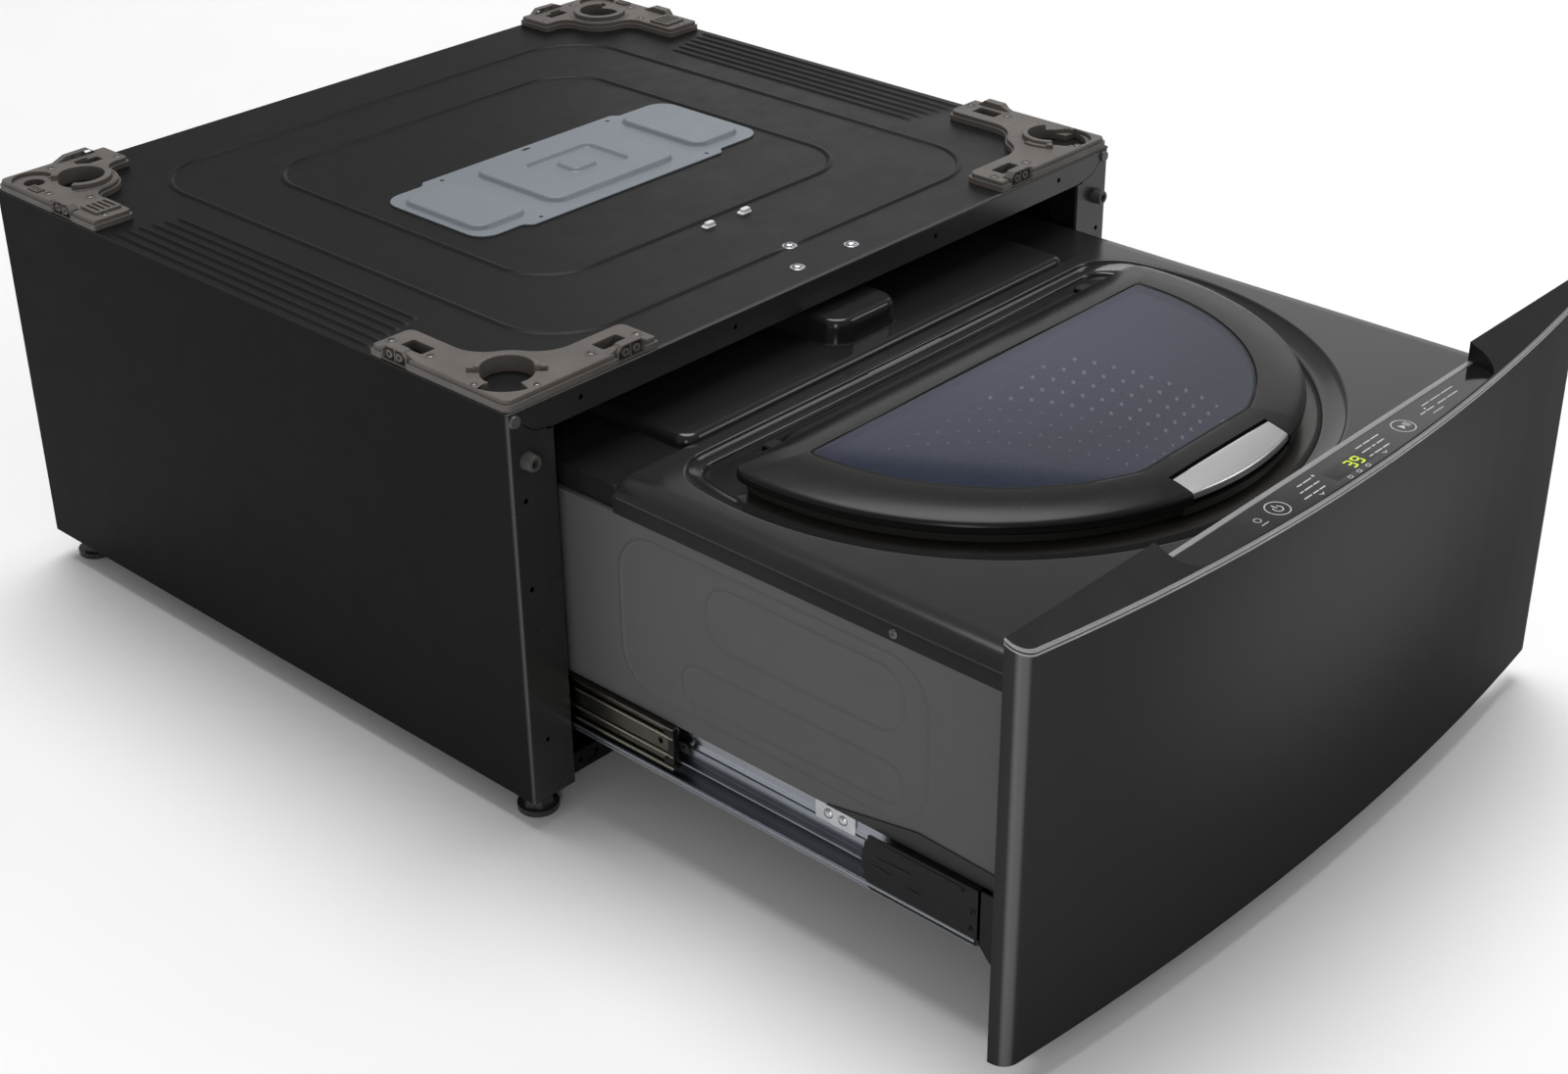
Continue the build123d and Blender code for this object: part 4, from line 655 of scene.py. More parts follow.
yz = [(BY, ZT)] + [(FY + 2.5 - 2.5 * math.sin(a), ZT - 2.5 + 2.5 * math.cos(a)) for a in np.linspace(0, math.pi / 2, 9)] + [(FY, 323.0), (FY + 1.2, 323.0)]
yz += [(FY + 2.5 - 1.3 * math.sin(a), ZT - 2.5 + 1.3 * math.cos(a)) for a in np.linspace(math.pi / 2, 0, 7)] + [(BY, ZT - 1.2)]
sheet_vf = prism(yz, -HX, HX, YZ)
cut = []
for sx in (-1, 1):
    o = [(sx * 345, 344.3), (sx * 341.2, 344.2), (sx * 320.6, 326.6), (sx * 302.0, 322.9), (sx * 302.0, 321), (sx * 345, 321)]
    cut.append(prism(o, FY - 1, FY + 3.2, XZ))
for x in (-275, -119, 112, 274):
    cut.append(lathe([(0, -4), (2.2, -4), (2.2, 4), (0, 4)], 20, (x, FY, 335), "y"))
sheet_vf = boolean(sheet_vf, cut)
top = Soup().add(sheet_vf)
keep_clear = np.array([1.0, FY + 56.0])
for hw, y0, y1, rr in ((250.0, 52.0, 566.0, 62.0), (180.0, 140.0, 499.0, 52.0)):
    loop = resample(rrect(0, FY + (y0 + y1) / 2, 2 * hw - 6, y1 - y0 - 6, rr - 3, 20), 5)
    top.add(bead(loop, 7.5, 1.45, z=ZT, fade=lambda p: min(1.0, max(0.15, (np.linalg.norm(p - keep_clear) - 6) / 10))))
for sx in (-1, 1):
    for i in range(6):
        half = (322 - 5 * (5 - i)) / 2
        x = sx * (282 + 10.5 * i)
        ys = np.r_[-half, -half + 1.2, -half + 3, -half + 6, np.linspace(-half + 12, half - 12, 24), half - 6, half - 3, half - 1.2, half]
        top.add(bead([(x, FY + 315 + y) for y in ys], 6.4, 1.5, closed=False, z=ZT))
# the front flange gets the lighter paint copy (painted light), the front bend the painted highlight
piece("top_sheet", top, ["top_charcoal", "flange_painted_light", "painted_bend_highlight"], "cabinet", stands_for=("top_panel",), angle=30,
      paint=lambda p, n: 0 if p.y > FY + 2.45 else 2 if n.y < -0.3 and n.z > 0.5 else 1)

# ---------------------------------------------------------------- cabinet: side panels
xy = [(-HX, BY)] + [(-HX + 2.5 - 2.5 * math.cos(a), FY + 2.5 - 2.5 * math.sin(a)) for a in np.linspace(0, math.pi / 2, 9)]
xy += [(-303 + 2 * math.sin(a), FY + 2 - 2 * math.cos(a)) for a in np.linspace(0, math.pi / 2, 7)] + [(-301, FY + 28), (-302.2, FY + 28)]
xy += [(-303 + 0.8 * math.sin(a), FY + 2 - 0.8 * math.cos(a)) for a in np.linspace(math.pi / 2, 0, 5)]
xy += [(-HX + 2.5 - 1.3 * math.cos(a), FY + 2.5 - 1.3 * math.sin(a)) for a in np.linspace(math.pi / 2, 0, 7)] + [(-HX + 1.2, BY)]
side_vf = prism(xy, ZB, ZT - 1.2)
cut = [prism([(-341.4, 348), (-341.4, 343.7), (-321, 326), (-302.6, 322.4), (-300, 322.4), (-300, 348)], FY - 1, FY + 2.1, XZ)]
cut.append(rbox(-308, -298, FY + 2.0, FY + 32, 12, 43.2 - 9.6, 0.01, 1))
cut.append(rbox(-308, -298, FY - 1, FY + 31, 322, 372, 0.01, 1))
for x, z in ((-331, 275), (-331, 204), (-326, 74)):
    cut.append(lathe([(0, -4), (2.2, -4), (2.2, 4), (0, 4)], 20, (x, FY, z), "y"))
side_vf = boolean(side_vf, cut)
side = Soup().add(side_vf)
# the front flanges get the lighter paint copy (painted light), the upright front bends the painted highlight
for s_name, s_soup in (("left", side), ("right", side.mirror())):
    piece("side_shell_" + s_name, s_soup, ["body_black", "flange_painted_light", "painted_bend_highlight"], "cabinet", stands_for=("side_panel_" + s_name,), angle=30,
          paint=lambda p, n: 0 if p.y > FY + 2.45 else 2 if n.y < -0.5 and abs(n.x) > 0.5 and abs(p.x) > 330 else 1)

# edge protectors on the return of each side panel
tabs = Soup()
for z in (152, 179, 206, 233):
    tabs.add(rbox(-301.2, -297.4, FY + 4, FY + 20, z, z + 21, 1.4, 3))
tabs.join(tabs.mirror())
piece("edge_protectors", tabs, "outlet_black", "cabinet", angle=40)

# hollow spacer studs on the front flanges
studs = Soup()
for sx in (-1, 1):
    studs.add(lathe([(2.9, 3.0), (2.9, 8.2), (3.3, 8.8), (4.6, 8.9), (5.5, 8.5), (6.0, 7.6), (6.7, 0.6), (6.9, -0.3), (0, -0.3), (0, 3.0)], 32, (sx * 327.5, FY, ZB + 281.5), "-y"))
piece("stud_skins", studs, "stud_grey", "cabinet", stands_for=("spacer_studs",), angle=35)

# ---------------------------------------------------------------- cabinet: corner brackets


def bulged(lx, wx, ly, wy, cx, cy, R, rho, r_tip, e=0.0, notches=()):
    """Two arms from the corner and a round bulge between them, blended by concave arcs."""
    lx, wx, ly, wy, R, rho, o = lx - e, wx - e, ly - e, wy - e, R - e, rho + e, 0.5 + e
    nd = 7.5 + e
    left, low = [], []
    for side_, a_, b_ in notches:
        if side_ == "v":
            left += [(o, b_ + e, 0.5), (nd, b_ + e, 0.8), (nd, a_ - e, 0.8), (o, a_ - e, 0.5)]
        else:
            low += [(a_ - e, o, 0.5), (a_ - e, nd, 0.8), (b_ + e, nd, 0.8), (b_ + e, o, 0.5)]
    out = rounded([(o, ly - 3, 0)] + left + [(o, o, 6.0)] + low + [(lx - 3, o, 0)], 6)
    out = out[1:-1] if not low else out[1:-1]
    out += rounded([(lx - 3.5, o, 0), (lx, o, 2.5), (lx, wx / 2, 0)], 5)[1:-1]
    out += rounded([(lx, wx / 2, 0), (lx, wx, r_tip), (lx - 14, wx, 0)], 6)[1:-1]
    yc = wx + rho
    uc = cx + math.sqrt((R + rho) ** 2 - (yc - cy) ** 2)
    a1 = math.atan2(yc - cy, uc - cx)
    out += circle(uc, yc, rho, 12, 270, math.degrees(a1) + 180)
    xc = wy + rho
    vc = cy + math.sqrt((R + rho) ** 2 - (xc - cx) ** 2)
    a2 = math.atan2(vc - cy, xc - cx)
    out += circle(cx, cy, R, 30, math.degrees(a1), math.degrees(a2))[1:-1]
    out += circle(xc, vc, rho, 12, math.degrees(a2) - 180, -180)
    out += rounded([(wy, ly - 14, 0), (wy, ly, r_tip), (wy / 2, ly, 0)], 6)[1:-1]
    out += rounded([(wy / 2, ly, 0), (o, ly, 2.5), (o, ly - 3.5, 0)], 5)[1:-1]
    return out


def swap(vf):
    return [(y, x, z) for x, y, z in vf[0]], [tuple(reversed(q)) for q in vf[1]]


def sector(cx, cy, r0, r1, a0, a1, n=24):
    return circle(cx, cy, r1, n, a0, a1) + list(reversed(circle(cx, cy, r0, n, a0, a1)))


def socket(cx, cy, r, lobe=None, a0=0, a1=0, more=None):
    """Outline of the socket: a circle that widens towards the corner between two angles."""
    pts = []
    for i in range(180):
        t = i * 2.0
        w = math.radians(t)
        q = r
        if lobe and a0 <= t <= a1:
            q = lobe
        if more and 150 < t < 330:
            dx, dy, e = more[0] - cx, more[1] - cy, more[2]
            k = dx * math.cos(w) + dy * math.sin(w)
            d = k * k - (dx * dx + dy * dy - e * e)
            if d > 0:
                q = max(q, k + math.sqrt(d))
        pts.append((cx + q * math.cos(w), cy + q * math.sin(w)))
    return pts


def lug(u0, u1, tubes, tall=359.0):
    """Hollow fixing block on the outer edge of an arm: frame, back wall, tubes, divider and ramp."""
    out = Soup()
    o = rounded([(u0, ZT + 0.3, 0.4), (u0, 354.6, 1.5), (u0 + 4.5, tall, 2.5), (u1 - 4.5, tall, 2.5), (u1, 354.6, 1.5), (u1, ZT + 0.3, 0.4)], 5)
    i = rounded([(u0 + 1.3, ZT + 1.6, 0.4), (u0 + 1.3, 354.2, 1.0), (u0 + 5.2, tall - 1.4, 1.6), (u1 - 5.2, tall - 1.4, 1.6), (u1 - 1.3, 354.2, 1.0), (u1 - 1.3, ZT + 1.6, 0.4)], 5)
    put = lambda u, z, v: (u, v, z)
    out.add(plate([o, i], 1.0, 7.4, 0.35, 2, put=put))
    out.add(plate([o], 7.0, 8.7, 0.35, 2, put=put))
    for u in tubes:
        out.add(lathe([(1.6, 1.2), (3.0, 1.2), (3.3, 1.5), (3.3, 7.3), (1.6, 7.3)], 24, (u, 0, 352.7), "y", wrap=True))
    m = (tubes[0] + tubes[1]) / 2
    out.add(rbox(m - 0.6, m + 0.6, 2.0, 7.3, ZT + 1.0, tall - 0.8, 0.15, 1))
    out.add(plate([rounded([(u0 - 8, 353.9, 0), (u0 + 3, tall - 1.0, 1.5), (u0 + 6, 353.9, 0)], 3)], 3.4, 8.6, 0.4, 2, put=put))
    return out


def boss(u, v):
    return lathe([(2.9, -0.5), (2.9, 0.35), (3.3, 0.6), (4.2, 0.55), (4.7, 0.25), (4.9, -0.5)], 28, (u, v, ZT + 8.5), wrap=True)


TB = ZT + 8.5
F_SCREWS = ((94, 16), (138, 15), (16, 97), (15, 138), (35, 7.2), (6.2, 39.5))
R_SCREWS = ((98, 30), (45, 12), (12, 60), (16, 134), (30, 92))


def front_bracket(more=None):
    b = Soup()
    sx, sy = 34, 37
    nt_ = (("u", 105.5, 133.5), ("v", 105.5, 133.5))
    ol = lambda e: bulged(145.5, 39, 145.5, 39, 35, 38, 36.5, 30, 7, e, nt_)
    b.add(plate([ol(0.0), socket(sx, sy, 19, 30.5, 188, 257)] + [rrect(116, 20, 24, 13, 1.5, 3), rrect(20, 116, 13, 24, 1.5, 3)], ZT, ZT + 5.0, 0.3, 2))
    b.add(plate([ol(1.5), socket(sx, sy, 19.0, 30.7, 188, 257, more)] + [rrect(116, 20, 23.6, 12.6, 1.5, 3), rrect(20, 116, 12.6, 23.6, 1.5, 3)],
                ZT + 4.6, TB, 0.8, 3))
    b.add(plate([sector(sx, sy, 19, 23.6, -41, 131, 56)], TB - 0.9, TB + 4.5, 0.9, 3))
    b.add(plate([sector(sx, sy, 19, 28.5, -42, -31, 8)], TB - 0.9, TB + 3.6, 0.7, 3))
    b.add(plate([sector(sx, sy, 19, 28.5, 121, 132, 8)], TB - 0.9, TB + 3.6, 0.7, 3))
    b.add(plate([sector(sx, sy, 22.8, 27.6, -42, 14, 24)], TB - 0.9, TB + 1.9, 0.7, 3))
    rgl = lug(105.8, 133.2, (114.2, 124.8))
    b.join(rgl)
    b.add(swap((rgl.v, rgl.f)))
    for u, v in F_SCREWS[:4]:
        b.add(boss(u, v))
    return b


fl = front_bracket().mapped(lambda u, v, z: (-HX + u, FY + v, z))
piece("bracket_front_left", fl, "bracket_taupe", "cabinet", stands_for=("corner_bracket_front_left",), angle=34)
fr = front_bracket((25.0, 26.0, 20.5)).mapped(lambda u, v, z: (HX - u, FY + v, z), True)
piece("bracket_front_right", fr, "bracket_taupe", "cabinet", stands_for=("corner_bracket_front_right",), angle=34)

rear_b = Soup()
nt_ = (("v", 80.5, 108.0),)
slots_ = [rrect(14.5 + 5 * i, 120, 2.4, 18, 1.15, 4) for i in range(4)]
rear_b.add(plate([bulged(105, 38.5, 141, 38.5, 48, 53, 31, 14, 4, 0.0, nt_), circle(48, 53, 19, 64), circle(22, 22, 8.5, 32), rrect(76, 21, 22, 10, 1.2, 3)], ZT, ZT + 5.0, 0.35, 2))
rear_b.add(plate([bulged(105, 38.5, 141, 38.5, 48, 53, 31, 14, 4, 1.4, nt_), circle(48, 53, 19.02, 64), circle(21.5, 21.5, 17.0, 56), rrect(76, 21, 21.6, 9.6, 1.2, 3)], ZT + 4.6, TB, 0.8, 3))
rear_b.add(plate([sector(48, 53, 19, 24.8, -140, 142, 72)], TB - 0.9, TB + 4.5, 0.9, 3))
rear_b.add(plate([sector(48, 53, 26.6, 28.6, -128, 132, 60)], TB - 0.6, TB + 0.8, 0.5, 2))
prof = rounded([(50, TB - 1.5, 0), (64, 358.6, 4), (86, 359, 3), (94, TB - 1.5, 0)], 5)
rear_b.add(plate([prof, circle(70, 356.2, 1.6, 20), circle(80, 356.2, 1.6, 20)], 1.0, 7.0, 0.6, 2, put=lambda u, z, v: (u, v, z)))
rear_b.add(swap((lambda q: (q.v, q.f))(lug(80.8, 107.7, (89.2, 99.6)))))
rear_b.add(plate([rrect(22, 120, 24, 24, 2, 4)] + slots_, TB - 0.5, TB + 2.6, 0.5, 2))
rear_b.add(plate([rrect(9.5, 46, 8, 15, 1.2, 3)] + [rrect(9.5, 41.6 + 4.4 * i, 5, 2.2, 0.6, 3) for i in range(3)], TB - 0.5, TB + 1.8, 0.4, 2))
rear_b.add(rbox(66, 78, 14.4, 16.0, TB - 0.5, TB + 1.5, 0.4, 2))
for u, v in R_SCREWS:
    rear_b.add(boss(u, v))
rl = rear_b.mapped(lambda u, v, z: (-HX + u, BY - v, z), True)
piece("bracket_rear_left", rl, "bracket_taupe", "cabinet", stands_for=("corner_bracket_rear_left",), angle=34)
piece("bracket_rear_right", rl.mirror(), "bracket_taupe", "cabinet", stands_for=("corner_bracket_rear_right",), angle=34)

screws = Soup()
for sx in (-1, 1):
    for u, v in F_SCREWS:
        screws.add(cross_screw(2.85, 0.75, (sx * (HX - u), FY + v, TB)))
    for u, v in R_SCREWS:
        screws.add(cross_screw(2.85, 0.75, (sx * (HX - u), BY - v, TB)))
piece("bracket_screw_heads", screws, "fastener_dark", "cabinet", stands_for=("bracket_screws",), angle=50, slot="fastener_steel")
screws = Soup()
for x, y in ((1, FY + 56), (35, FY + 22), (-26, FY + 23)):
    screws.add(cross_screw(4.6, 2.4, (x, y, ZT)))
    screws.add(lathe([(0, -0.3), (6.0, -0.3), (6.0, 0.25), (5.6, 0.45), (0, 0.45)], 32, (x, y, ZT)))
piece("top_screw_heads", screws, "fastener_steel", "cabinet", stands_for=("top_screws",), angle=50)

# ---------------------------------------------------------------- cabinet: access cover
ax, ay = 9.5, FY + 305.0
cover = Soup()
ol = rounded([
    (ax - 161, ay - 62, 18), (ax - 118, ay - 62, 4), (ax - 112, ay - 69, 4), (ax + 103, ay - 69, 4), (ax + 109, ay - 62, 4),
    (ax + 161, ay - 62, 18), (ax + 161, ay + 62, 18), (ax + 109, ay + 62, 4), (ax + 103, ay + 68, 4), (ax - 112, ay + 68, 4),
    (ax - 118, ay + 62, 4), (ax - 161, ay + 62, 18),
], 8)
hl = [circle(ax + p, ay + q, 1.8, 20) for p, q in ((-98, 60), (92, 60), (92.5, -61), (-97.5, -61))]
hl.append(rrect(ax - 2.5, ay + 62, 9, 3, 1.45, 6))
cover.add(plate([ol] + hl, ZT, ZT + 1.4, 0.35, 2))


def pad(cx, cy, w, h, r, z0, prof):
    return [[(x, y, z0 + dz) for x, y in rrect(cx, cy, w - 2 * i, h - 2 * i, max(r - i, 1.0), 10)] for i, dz in prof]


rise = [(-0.4, -0.3), (0.0, 0.05), (0.5, 0.35), (1.2, 1.35), (1.9, 2.65), (2.5, 3.45), (3.2, 3.85), (4.4, 3.95)]
cover.add(loft(pad(ax - 126.5, ay - 2, 58, 98, 14, ZT + 1.4, rise), cap0=True, cap1=True))
cover.add(loft(pad(ax + 122.0, ay + 1, 57, 102, 14, ZT + 1.4, rise), cap0=True, cap1=True))
rings = pad(ax - 3.0, ay - 1, 143, 104, 14, ZT + 1.4, rise)
rings += pad(ax - 0.5, ay, 76, 56, 7.5, ZT + 5.35, [(0, 0), (0.8, -0.2), (1.6, -1.0), (2.4, -2.0), (3.2, -2.6), (4.0, -2.8)])
rings += pad(ax - 0.5, ay, 32, 30, 9, ZT + 5.35, [(0, -2.8), (0.9, -2.6), (1.8, -1.8), (2.6, -0.8), (3.5, -0.2), (4.6, 0.0)])
cover.add(loft(rings, cap0=True, cap1=True))
piece("access_plate", cover, "cover_grey", "cabinet", stands_for=("access_cover",), angle=50)

# clips: a wedge with a foot
clips = Soup()
for x, y in ((-12, FY + 131), (28, FY + 130)):
    clips.add(loft([[(x + p, y + q, ZT + z) for p, q in rrect(0, 0, 12 - 2 * i, 7 - 2 * i, 2.2, 5)] for i, z in ((0, 0), (0, 0.9), (0.5, 1.3))], cap0=True, cap1=True))
    clips.add(loft([[(x + 1 + p, y + q, ZT + z) for p, q in rrect(0, 0, 9 - 2 * i, 5.4 - 2 * i, 2.0, 5)] for i, z in ((0, 0.9), (0, 2.9), (0.4, 3.6), (1.1, 4.0))], cap0=True, cap1=True))
piece("clip_heads", clips, "clip_white", "cabinet", stands_for=("top_clips",), angle=45)

# ---------------------------------------------------------------- drawer: tray
c = np.array([0.0, FY - 205.0])
th = np.linspace(-math.pi, math.pi, 640, endpoint=False)
corners = [math.atan2(y - c[1], x - c[0]) for x in (-294.5, 294.5) for y in (DY, FY - 48.0)]
th = np.sort(np.r_[th, corners])
O1 = r_of(d_poly(263.0, FY - 141.0, FY - 62.0, 40), th, c)
O2 = r_of(d_poly(246.0, FY - 141.0, FY - 69.0, 22), th, c)
O3 = r_of(d_poly(196.0, FY - 145.0, FY - 116.0, 24), th, c)
tray_rings = [ring_at(c, th, O3, 269.2), ring_at(c, th, O3, 280.6), ring_at(c, th, O3 + 0.9, 281.5)]
tray_rings += [ring_at(c, th, O2 - 7.0, 281.5), ring_at(c, th, O2 - 5.0, 281.7), ring_at(c, th, O2 - 3.4, 282.2), ring_at(c, th, O2 - 2.0, 283.1), ring_at(c, th, O2 - 0.9, 284.3), ring_at(c, th, O2 - 0.2, 285.0), ring_at(c, th, O2 + 0.8, 285.5)]
for s in (0.12, 0.28, 0.45, 0.62, 0.78, 0.9):
    tray_rings.append(ring_at(c, th, O2 + (O1 - O2) * s, 285.4 + 5.1 * s ** 1.9))
tray_rings += [ring_at(c, th, O1 - 0.5, 290.6), ring_at(c, th, O1 + 0.1, 291.35), ring_at(c, th, O1 + 0.9, 291.85), ring_at(c, th, O1 + 2.2, 292.0)]


def roll(x):
    x = np.abs(x)
    t = np.clip((x - 274.0) / 20.5, 0, 1)
    return np.where(x <= 274.0, 292.0, 292.0 - 14.5 * (1 - np.sqrt(np.clip(1 - t ** 2.4, 0, 1))))


steps = [274.0, 278, 281.5, 284.5, 287.0, 289.2, 291.0, 292.4, 293.4, 294.1, 294.5]
tb = FY - 48.0
for k, w in enumerate(steps):
    e = 0.06 * (len(steps) - 1 - k) + (0.5 if k < len(steps) - 1 else 0.0)
    r = rect_r(th, c, -w, w, DY + e, tb - e)
    ring = ring_at(c, th, r, 292.0)
    ring[:, 2] = roll(ring[:, 0])
    tray_rings.append(ring)
last = tray_rings[-1].copy()
tray_rings[-1][:, 2] -= 0.25
low = last.copy()
low[:, 2] = 269.0
tray_rings.append(low)
r = rect_r(th, c, -294.2, 294.2, DY + 0.3, tb - 0.3)
tray_rings.append(ring_at(c, th, r, 268.5))
r = rect_r(th, c, -292.0, 292.0, DY + 3, tb - 3)
tray_rings.append(ring_at(c, th, r, 268.5))
top_in = ring_at(c, th, r, 288.8)
top_in[:, 2] = np.minimum(288.8, roll(top_in[:, 0] * 1.008) - 3.2)
tray_rings.append(top_in)
tray_rings.append(ring_at(c, th, np.minimum(O1 + 3.5, r - 0.4), 288.7))
tray_rings.append(ring_at(c, th, np.minimum(O1 + 2.5, r - 0.8), 269.2))
tray = Soup().add(loft(tray_rings, wrap=True))
for sx in (-1, 1):
    tray.add(loft([[(sx * 182.5 + p, FY - 97 + q, z) for p, q in rrect(0, 0, 15 - 2 * i, 14 - 2 * i, 3, 5)] for i, z in ((0, 271.5), (0, 293.5), (0.6, 295.2), (1.8, 296))], cap0=True, cap1=True))
    tray.add(rbox(sx * 182.5 - 9.5, sx * 182.5 + 9.5, FY - 107, FY - 87, 280.6, 283.2, 0.8, 2))
# recess floor: front part lighter brown (painted light), back part darker black (painted shade); side skirts darker
# black, their own black plus painted shade under the roll; the hinge bosses are black plastic
piece("tray", tray, ["tray_black", "outlet_black", "recess_painted_light"], "drawer", stands_for=("top_cover",), angle=28,
      paint=lambda p, n: 1 if (abs(p.x) > 294.0 and p.z < 280 and abs(n.x) > 0.9) or (172 < abs(p.x) < 193 and FY - 108 < p.y < FY - 86 and p.z > 280.5) else 2 if 281.0 < p.z < 284.4 and n.z > 0.2 and abs(p.x) < 255 and p.y < FY - 120 else 1 if 281.0 < p.z < 284.4 and n.z > 0.2 and abs(p.x) < 255 else 0)

# screws in the tray's side bands
sc = Soup()
for sx, axn in ((-1, "-x"), (1, "x")):
    for y in (FY - 302,):
        sc.add(cross_screw(3.5, 1.1, (sx * 294.6, y, 274.5), axn))
piece("tray_screws", sc, "fastener_dark", "drawer", angle=50, slot="fastener_steel")

# ---------------------------------------------------------------- drawer: rear deck
deck = Soup()
deck.add(rbox(-290, 290, tb, FY + 200, 284, 288, 0.8, 2))
for sx in (-1, 1):
    deck.add(rbox(min(sx * 287, sx * 290), max(sx * 287, sx * 290), tb, FY + 200, 268.5, 285.5, 0.8, 2))
deck.add(rbox(-287, 287, FY + 197, FY + 200, 268.5, 284.5, 0.8, 2))
deck.add(loft([[(x, y, z) for x, y in rrect(0, FY + 50, 444 - 2 * i, 200 - 2 * i, max(14 - i, 4), 8)] for i, z in (
    (0, 287.5), (0, 291.5), (0.3, 293.0), (1.0, 294.6), (2.2, 296.0), (3.8, 297.0), (5.6, 297.45), (7.0, 297.5))], cap0=True, cap1=True))
deck.add(loft([[(x, y, z) for x, y in rrect(0, FY + 20, 78 - 2 * i, 102 - 2 * i, max(20 - i, 6), 10)] for i, z in (
    (-1.5, 297.2), (0.0, 298.4), (0.8, 303), (1.6, 310), (2.2, 313.2), (3.2, 315.2), (4.8, 316.4), (7, 317.0))], cap0=True, cap1=True))
piece("deck", deck, "deck_gloss", "drawer", stands_for=("rear_deck",), angle=32, slot="outlet_black")

# ---------------------------------------------------------------- drawer: sides
ds = Soup()
for a0, a1, b0, b1, r in ((-331, -52, 131, 258, 34), (-311, -112, 142, 174, 14), (-311, -137, 197, 247, 20)):
    loop = resample(rrect(FY + (a0 + a1) / 2, (b0 + b1) / 2, a1 - a0, b1 - b0, r, 14), 5)
    ds.add(bead(loop, 5.0, 0.75, put=lambda y, z, h: (-294.0 - h, y, z)))
gus = rounded([(FY - 246, 117.2, 3), (FY - 325, 132, 16), (FY - 386, 129.5, 8), (FY - 411, 127, 3), (FY - 411, 116.6, 0), (FY - 246, 116.6, 0)], 5)
piece("side_beads_left", ds, "drawer_grey", "drawer", angle=40)
piece("side_beads_right", ds.mirror(), "drawer_grey", "drawer", angle=40)
gs = Soup().add(plate([gus], 293.9, 295.2, 0.35, 2, put=lambda y, z, h: (-h, y, z)))
piece("side_gusset_left", gs, "gusset_grey", "drawer", angle=40, slot="drawer_grey")
piece("side_gusset_right", gs.mirror(), "gusset_grey", "drawer", angle=40, slot="drawer_grey")

# ---------------------------------------------------------------- lid
lc = np.array([0.0, FY - 215.0])
tl = np.linspace(-math.pi, math.pi, 560, endpoint=False)
gx = math.sqrt(193.0 ** 2 - (5.0) ** 2)
gxf = math.sqrt(193.0 ** 2 - (182.0) ** 2)
tl = np.sort(np.r_[tl, [math.atan2(y - lc[1], x - lc[0]) for x, y in ((gx, FY - 140), (-gx, FY - 140), (gxf, FY - 327), (-gxf, FY - 327))]])
LO = r_of(d_poly(239.0, FY - 134.4, FY - 106.0, 12), tl, lc)
GP = d_poly(193.0, FY - 145.0, FY - 140.0, 3.0, FY - 327.0, 8.0)
RGL = r_of(GP, tl, lc)


def crown(s):
    """Height of the ring's face between the glass (0) and the rim (1)."""
    return 308.5 - 7.0 * np.clip(s, 0, 1) ** 2.3


lid_rings = [ring_at(lc, tl, RGL + 0.7, 304.6), ring_at(lc, tl, RGL + 0.7, 307.5), ring_at(lc, tl, RGL + 0.95, 308.15), ring_at(lc, tl, RGL + 1.6, 308.5)]
for s in (0.09, 0.2, 0.32, 0.44, 0.56, 0.67, 0.77, 0.85, 0.91):
    lid_rings.append(ring_at(lc, tl, RGL + (LO - RGL) * s, crown(s)))
zr = float(crown(0.95))
lid_rings += [ring_at(lc, tl, LO - 1.7, zr - 0.45), ring_at(lc, tl, LO - 0.8, zr - 1.4), ring_at(lc, tl, LO - 0.2, zr - 2.7), ring_at(lc, tl, LO - 0.05, zr - 3.3),
              ring_at(lc, tl, LO - 0.75, zr - 3.4), ring_at(lc, tl, LO - 0.75, zr - 3.8), ring_at(lc, tl, LO - 0.05, zr - 3.9), ring_at(lc, tl, LO, zr - 5.0),
              ring_at(lc, tl, LO - 0.25, zr - 7.0), ring_at(lc, tl, LO - 0.9, zr - 8.6), ring_at(lc, tl, LO - 2.2, zr - 9.7), ring_at(lc, tl, LO - 4.2, zr - 10.2),
              ring_at(lc, tl, LO - 6.6, zr - 10.5), ring_at(lc, tl, LO - 7.4, zr - 11.2), ring_at(lc, tl, LO - 7.7, 285.4), ring_at(lc, tl, LO - 8.0, 284.0), ring_at(lc, tl, LO - 8.7, 283.4),
              ring_at(lc, tl, LO - 11.5, 283.4), ring_at(lc, tl, LO - 12.0, 284.0), ring_at(lc, tl, LO - 13.0, 297.0), ring_at(lc, tl, np.maximum(LO - 15.0, RGL - 2.0), 299.5),
              ring_at(lc, tl, RGL - 3.0, 300.8), ring_at(lc, tl, RGL - 5.6, 300.9), ring_at(lc, tl, RGL - 6.0, 301.4), ring_at(lc, tl, RGL - 6.0, 304.2), ring_at(lc, tl, RGL - 5.6, 304.6)]
lid_vf = loft(lid_rings, wrap=True)
# solid block inside the ring under the handle, then the pocket and the hinge notches
xs = np.linspace(-64, 64, 33)
arc = [(x, FY - 134.4 - math.sqrt(236.5 ** 2 - x * x)) for x in xs]
block = prism(arc + [(64, FY - 343), (-64, FY - 343)], 286, 299.5)
lid_vf = boolean(lid_vf, [block], "UNION")
pocket = prism([(-59, FY - 344.4), (59, FY - 344.4), (59, FY - 400), (-59, FY - 400)], 293.6, 330)
notch = [prism([(sx * 172.5, FY - 87.9), (sx * 192.5, FY - 87.9), (sx * 192.5, FY - 112), (sx * 172.5, FY - 112)], 268, 298.5) for sx in (-1, 1)]
lid_vf = boolean(lid_vf, [pocket] + notch)
lid = Soup().add(lid_vf)
